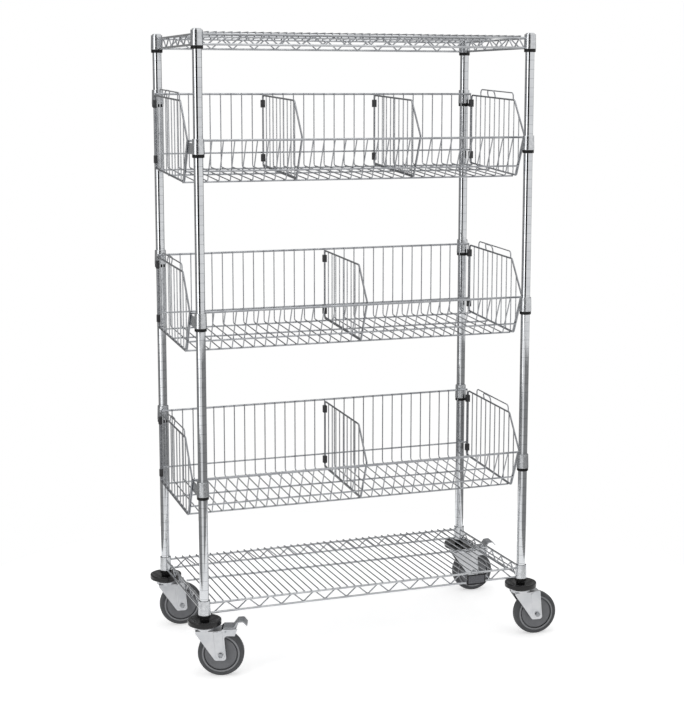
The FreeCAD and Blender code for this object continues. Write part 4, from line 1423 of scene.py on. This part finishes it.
    def build(self) -> None:
        """Makes the basket's pieces."""
        heights = {corner: self.top - (self.drop if corner.value[1] < 0 else 0.0) for corner in Corner}
        Collars(f"{self.node}_collars", heights).build()
        self.hangers()
        self.wires("bent_wires", "cross_wires").sweep(self.cross_runs(), self.cross_wire, self.bend)
        rims = self.wires("rim_wires", "long_wires")
        rims.sweep(self.long_runs(PLAN.rail), PLAN.rail, sides=PLAN.rail_sides)
        thin = self.wires("thin_long_wires", "long_wires")
        thin.sweep(self.long_runs(self.long_wire), self.long_wire, sides=self.wire_sides)
        clips: list[Copy] = []
        for side, sign in (("left", -1), ("right", 1)):
            end = f"{self.node}_{side}_end"
            self.panel(end, sign * self.panel_x, 0.0)
            loops = Piece(f"{end}_loops", Slot.WIRE, (end,))
            loops.sweep(self.loop_runs(sign * self.panel_x, -sign), self.loop_wire, self.loop_bend)
            clips += self.clip_copies(sign * self.outermost, sign * SQUARE)
        for divider, wish in self.dividers.items():
            x = min(self.places(), key=lambda place: abs(place - wish))
            self.panel(f"{self.node}_{divider}", x, self.gap(self.panel_wire))
            clips += self.clip_copies(x, 0.0)
        moulded = Piece(f"{self.node}_moulded_clips", Slot.PLASTIC, (f"{self.node}_clips",), Finish.CLIP)
        moulded.repeat(self.clip.shape(self.cross_wire, self.panel_wire), clips)
        Welds().build(f"{self.node}_welds", self.welds)


@dataclass
class Bumpers:
    """Round black bumpers between the posts and the casters, with a dished top round a boss."""

    radius: float = 46.0
    foot_radius: float = 37.0
    height: float = 18.0
    rim_drop: float = 2.0
    rim_height: float = 14.0
    rim_width: float = 8.0
    dish: float = 9.5
    boss_radius: float = 13.0
    boss_flare: float = 4.0
    bore: float = 8.05
    edge: float = 2.6
    edge_steps: int = 5

    def build(self) -> None:
        """Makes the four bumpers as one piece."""
        top = PLAN.post_foot - PLAN.seat
        rim = top - self.rim_drop
        low = rim - self.rim_height
        base = top - self.height
        hollow = rim - self.dish
        section = [(self.bore, base), (self.foot_radius, base), (self.radius, low), (self.radius, rim),
                   (self.radius - self.rim_width, rim), (self.boss_radius + self.boss_flare, hollow),
                   (self.boss_radius, hollow), (self.boss_radius, top), (self.bore, top)]
        copies = [Copy(PLAN.at(corner, 0.0)) for corner in Corner]
        shape = lathe("bumper", rounded(section, self.edge, self.edge_steps))
        Piece("moulded_bumpers", Slot.BUMPER, ("caster_bumpers",)).repeat(shape, copies)


@dataclass
class Caster:
    """Swivel caster: wheel with rubber tread, raised beads and grey core, and the fork's strips.

    Attributes:
        corner: Corner of the rack.
        yaw: Angle in degrees about Z by which the caster is turned.
        trail: Distance of the axle behind the stem.
        strip: Corners of the strip in a fork leg, as distance behind the stem and height above the floor.
    """

    corner: Corner
    yaw: float
    trail: float = 44.0
    radius: float = 63.5
    width: float = 32.0
    core_radius: float = 47.0
    face_radius: float = 43.5
    face_width: float = 28.0
    rim_width: float = 20.0
    boss_radius: float = 12.5
    boss_flare: float = 4.0
    boss_length: float = 46.04
    bore: float = 6.06
    core_edge: float = 0.8
    side_end: float = 4.5
    crown_drop: float = 1.2
    crown_start: float = 3.2
    crown_end: float = 7.5
    tread_edge: float = 2.2
    tread_edge_steps: int = 4
    bead_reach: float = 4.8
    bead_rise: float = 1.3
    bead_root: float = 1.0
    bead_inner_drop: float = 0.3
    bead_outer_drop: float = 0.2
    bead_crest: float = 1.2
    bead_slope: float = 0.8
    bead_edge: float = 0.5
    sides: int = 96
    leg_half_width: float = 26.5
    strip_rise: float = 1.0
    strip_bevel: float = 0.9
    strip: tuple[SidePoint, ...] = ((24, 129), (49, 129), (51.5, 98), (55, 58), (50.5, 52.5), (35.5, 52.5),
                                    (30, 60))

    @property
    def turn(self) -> float:
        """Angle about Z in radians."""
        return math.radians(self.yaw)

    @property
    def flank(self) -> float:
        """Distance of the tread's flat side from the wheel's middle plane."""
        return self.width / 2 - self.bead_rise

    def place(self, behind: float, aside: float, height: float) -> Point:
        """Finds a point of the turned caster.

        Args:
            behind: Distance behind the stem.
            aside: Distance to the right of the wheel's middle plane.
            height: Height above the floor.

        Returns:
            The point.
        """
        x, y, _ = PLAN.at(self.corner, height)
        cos, sin = math.cos(self.turn), math.sin(self.turn)
        return (x + behind * cos + aside * sin, y + behind * sin - aside * cos, height)

    def tread(self) -> list[SidePoint]:
        """Draws the rubber: flat sides, full shoulders and a slightly crowned face.

        Returns:
            Its section as radius and distance from the wheel's middle plane.
        """
        half = [(self.core_radius + PLAN.seat, self.flank), (self.radius - self.side_end, self.flank),
                (self.radius - self.crown_drop, self.flank - self.crown_start),
                (self.radius, self.flank - self.crown_end)]
        return half + [(radius, -aside) for radius, aside in reversed(half)]

    def bead(self) -> list[SidePoint]:
        """Draws the raised ring at the inner edge of the tread's side.

        Returns:
            Its section as radius and distance from the wheel's middle plane.
        """
        inner = self.core_radius + PLAN.seat
        outer = inner + self.bead_reach
        crest = self.width / 2
        root = self.flank - self.bead_root
        return [(inner, root), (inner, crest - self.bead_inner_drop), (inner + self.bead_crest, crest),
                (outer - self.bead_slope, crest - self.bead_outer_drop), (outer, root)]

    def core(self) -> list[SidePoint]:
        """Draws the core: boss, flat face, recessed ring and rim.

        Returns:
            Its section as radius and distance from the wheel's middle plane.
        """
        half = [(self.bore, self.boss_length / 2), (self.boss_radius, self.boss_length / 2),
                (self.boss_radius + self.boss_flare, self.face_width / 2),
                (self.face_radius, self.face_width / 2), (self.face_radius, self.rim_width / 2),
                (self.core_radius, self.rim_width / 2)]
        return half + [(radius, -aside) for radius, aside in reversed(half)]

    def wheel(self) -> None:
        """Makes the tread, its beads and the core, with their axis on the axle."""
        name = self.corner.label
        body = f"{name}_wheel"
        hub = self.place(self.trail, 0.0, self.radius)
        both = [Copy(hub, (side * SQUARE, 0, self.turn)) for side in (1, -1)]
        tread = lathe("tread", rounded(self.tread(), self.tread_edge, self.tread_edge_steps), self.sides)
        Piece(f"{name}_tread", Slot.TYRE, (f"{name}_tyre",), body=body).repeat(tread, both[:1])
        bead = lathe("bead", rounded(self.bead(), self.bead_edge), self.sides)
        Piece(f"{name}_tread_beads", Slot.TYRE, (f"{name}_tyre",), Finish.BEAD, body).repeat(bead, both)
        core = lathe("core", rounded(self.core(), self.core_edge), self.sides)
        Piece(f"{name}_core", Slot.HUB, (f"{name}_hub",), body=body).repeat(core, both[:1])

    def pressing(self) -> None:
        """Makes the raised strips in both legs of the fork, from the crown to the axle."""
        name = self.corner.label
        copies = [Copy(self.place(0.0, aside, 0.0), (SQUARE, 0, self.turn))
                  for aside in (self.leg_half_width, -self.leg_half_width)]
        strip = extruded("strip", list(self.strip), 2 * self.strip_rise, self.strip_bevel)
        Piece(f"{name}_fork_pressing", Slot.ZINC, body=f"{name}_swivel").repeat(strip, copies)

    def build(self) -> None:
        """Makes the caster's pieces."""
        self.pressing()
        self.wheel()


# Stage, in metres


def seen(tree: bpy.types.NodeTree) -> bpy.types.NodeSocket:
    """Tells rays that show the surroundings from those that only light the object.

    Args:
        tree: Node tree of a material or of the world.

    Returns:
        Socket with one for rays from the camera, from metal and through clear pieces, else zero.
    """
    path = add_node(tree, "ShaderNodeLightPath").outputs
    shown = path["Is Camera Ray"]
    for ray in ("Is Glossy Ray", "Is Transmission Ray"):
        shown = add_node(tree, "ShaderNodeMath", {0: shown, 1: path[ray]}, operation="MAXIMUM").outputs[0]
    return shown


@dataclass(frozen=True)
class Flag:
    """Curved sheet that glows and only shows in reflections, for the dark bands in bright plate.

    Attributes:
        name: Name of the cloth.
        start: Angle in degrees, from the direction of the camera, where the cloth begins.
        end: Angle where it ends.
        radius: Distance from the rack's middle.
        low: Height of its lower edge.
        high: Height of its upper edge.
        glow: How bright it looks in metal, where 1 is white.
        steps: Straight pieces along it.
    """

    name: str
    start: float
    end: float
    radius: float
    low: float
    high: float
    glow: float
    steps: int = 12

    def build(self, towards: float) -> None:
        """Hangs the cloth.

        Args:
            towards: Direction of the camera about Z in radians.
        """
        points = []
        for step in range(self.steps + 1):
            angle = towards + math.radians(self.start + (self.end - self.start) * step / self.steps)
            x, y = self.radius * math.cos(angle), self.radius * math.sin(angle)
            points += [(x, y, self.low), (x, y, self.high)]
        faces = [(2 * step, 2 * step + 2, 2 * step + 3, 2 * step + 1) for step in range(self.steps)]
        mesh = bpy.data.meshes.new(self.name)
        mesh.from_pydata(points, [], faces)
        # Sheet that glows an even grey without gloss, seen only in reflections as a band in bright plate
        material, tree = start_material(f"{self.name}_cloth")
        shader = add_node(tree, "ShaderNodeEmission", {"Color": linear(WHITE), "Strength": self.glow})
        add_node(tree, "ShaderNodeOutputMaterial", {"Surface": shader.outputs["Emission"]})
        mesh.materials.append(material)
        cloth = add_object(self.name, mesh)
        cloth.visible_camera = False
        cloth.visible_diffuse = False
        cloth.visible_shadow = False
        cloth.visible_transmission = False


@dataclass(frozen=True)
class Lamp:
    """Soft rectangular lamp.

    Attributes:
        name: Name of the lamp.
        place: Where it stands.
        aim: Point that it faces.
        size: Its width and height.
        power: Its power in watts.
    """

    name: str
    place: Point
    aim: Point
    size: tuple[float, float]
    power: float

    def build(self) -> None:
        """Sets up the lamp."""
        data = bpy.data.lights.new(self.name, "AREA")
        data.shape = "RECTANGLE"
        data.size, data.size_y = self.size
        data.energy = self.power
        lamp = bpy.data.objects.new(self.name, data)
        lamp.location = self.place
        lamp.rotation_euler = (Vector(self.aim) - Vector(self.place)).to_track_quat("-Z", "Y").to_euler()
        bpy.context.scene.collection.objects.link(lamp)


@dataclass
class Studio:
    """Camera, lamps, white floor and surroundings.

    Attributes:
        eye: Place of the camera.
        heading: Angle in degrees by which it looks to the right of straight back.
        pitch: Angle in degrees by which it looks down.
        lens: Its focal length in millimetres.
        sensor: Width of its sensor in millimetres.
        shift: Share of the frame by which the view is moved up.
        light: Strength of the surroundings where they light the object.
        look: Their strength where they are seen, where 1 is white.
        paper_glow: Brightness that the floor adds to its own where it is seen.
    """

    eye: Point = (-1.5479, -4.2044, 1.5738)
    heading: float = 20.222
    pitch: float = 8.638
    lens: float = 77.684
    sensor: float = 36.0
    shift: float = -0.045
    light: float = 0.58
    look: float = 1.0
    floor_radius: float = 1.3
    floor_steps: int = 96
    paper_tones: tuple[str, str] = ("#f0f0f0", "#f4f4f4")
    paper_patch_mm: float = 2.0
    paper_roughness: float = 0.9
    paper_glow: float = 0.5
    flags: tuple[Flag, ...] = (
        Flag("left_flag", -180, -63, 5.0, 0.1, 4.0, 0.32),
        Flag("front_flag", -37, 6, 6.0, 0.1, 5.0, 0.02),
        Flag("back_flag", 128, 180, 5.0, 0.1, 3.0, 0.3),
        Flag("low_left_flag", -180, -36, 5.0, -2.2, 0.1, 0.28),
        Flag("low_right_flag", 8, 180, 5.0, -2.2, 0.1, 0.28),
    )
    lamps: tuple[Lamp, ...] = (
        Lamp("key", (-3.17, -1.3, 1.4), (-0.2, 0, 1.1), (1.5, 2.8), 21),
        Lamp("top", (0.0, -0.4, 4.2), (0, 0, 0), (2.5, 2.0), 26),
    )

    def camera(self) -> None:
        """Sets the camera at the photograph's angle."""
        data = bpy.data.cameras.new("camera")
        data.lens = self.lens
        data.sensor_width = self.sensor
        data.shift_y = self.shift
        camera = bpy.data.objects.new("camera", data)
        camera.location = self.eye
        camera.rotation_euler = (math.radians(90 - self.pitch), 0.0, -math.radians(self.heading))
        bpy.context.scene.collection.objects.link(camera)
        bpy.context.scene.camera = camera

    def world(self) -> None:
        """Makes white surroundings that light the object more gently than they look."""
        world = bpy.data.worlds.new("studio")
        world.use_nodes = True
        tree = world.node_tree
        tree.nodes.clear()
        strength = add_node(tree, "ShaderNodeMapRange",
                            {"Value": seen(tree), "To Min": self.light, "To Max": self.look})
        glow = add_node(tree, "ShaderNodeBackground",
                        {"Color": linear(WHITE), "Strength": strength.outputs["Result"]})
        add_node(tree, "ShaderNodeOutputWorld", {"Surface": glow.outputs["Background"]})
        bpy.context.scene.world = world

    def floor(self) -> None:
        """Makes a white paper floor that keeps the object's shadow."""
        angles = [2 * math.pi * step / self.floor_steps for step in range(self.floor_steps)]
        edge = [(self.floor_radius * math.cos(angle), self.floor_radius * math.sin(angle), 0)
                for angle in angles]
        mesh = bpy.data.meshes.new("floor")
        mesh.from_pydata(edge, [], [tuple(range(self.floor_steps))])
        # White seamless paper: matt, with a faint fibre, and white where no shadow falls
        material, tree = start_material("white_seamless_paper")
        coords = add_node(tree, "ShaderNodeTexCoord").outputs["Object"]
        glow = add_node(tree, "ShaderNodeMath", {0: seen(tree), 1: self.paper_glow}, operation="MULTIPLY")
        shader = add_node(tree, "ShaderNodeBsdfPrincipled",
                          {"Base Color": mottle(tree, coords, self.paper_patch_mm, *self.paper_tones),
                           "Roughness": self.paper_roughness, "Emission Color": linear(WHITE),
                           "Emission Strength": glow.outputs[0]})
        add_node(tree, "ShaderNodeOutputMaterial", {"Surface": shader.outputs["BSDF"]})
        mesh.materials.append(material)
        add_object("floor", mesh)

    def build(self) -> None:
        """Sets up the whole stage."""
        bpy.context.scene.view_settings.view_transform = "Standard"
        self.camera()
        self.world()
        self.floor()
        towards = math.atan2(self.eye[1], self.eye[0])
        for flag in self.flags:
            flag.build(towards)
        for lamp in self.lamps:
            lamp.build()


def dress_frame() -> None:
    """Gives every CAD node that stays its finish."""
    slots = {slot.value: slot for slot in Slot}
    for label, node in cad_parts.items():
        for place in node.material_slots:
            name = place.material.name.split(".")[0] if place.material else ""
            if name in slots:
                finish = NODE_FINISH.get(label.split("_")[-1], SLOT_FINISH[slots[name]])
                place.material = finish.material()


# Grooves on which the collars sit, places wished for the dividers, and the casters' angles in degrees
SHELF_GROOVES = {"top_shelf": 60, "bottom_shelf": 0}
BASKETS = {
    "lower": (18, {"divider": 16.0}),
    "middle": (36, {"divider": 16.0}),
    "upper": (54, {"left_divider": -173.0, "right_divider": 173.0}),
}
CASTER_YAW = {Corner.FRONT_LEFT: -19.5, Corner.FRONT_RIGHT: -6.0, Corner.BACK_LEFT: -6.0,
              Corner.BACK_RIGHT: -6.0}


def main() -> None:
    """Builds the stage and every sub-assembly."""
    logging.basicConfig(level=logging.INFO, format="%(message)s")
    Studio().build()
    dress_frame()
    Posts().build()
    for name, grooves in SHELF_GROOVES.items():
        FlatShelf(name, PLAN.level(grooves)).build()
    for name, (grooves, dividers) in BASKETS.items():
        Basket(name, grooves, dividers).build()
    Bumpers().build()
    for corner, yaw in CASTER_YAW.items():
        Caster(corner, yaw).build()


if __name__ == "__main__":
    main()
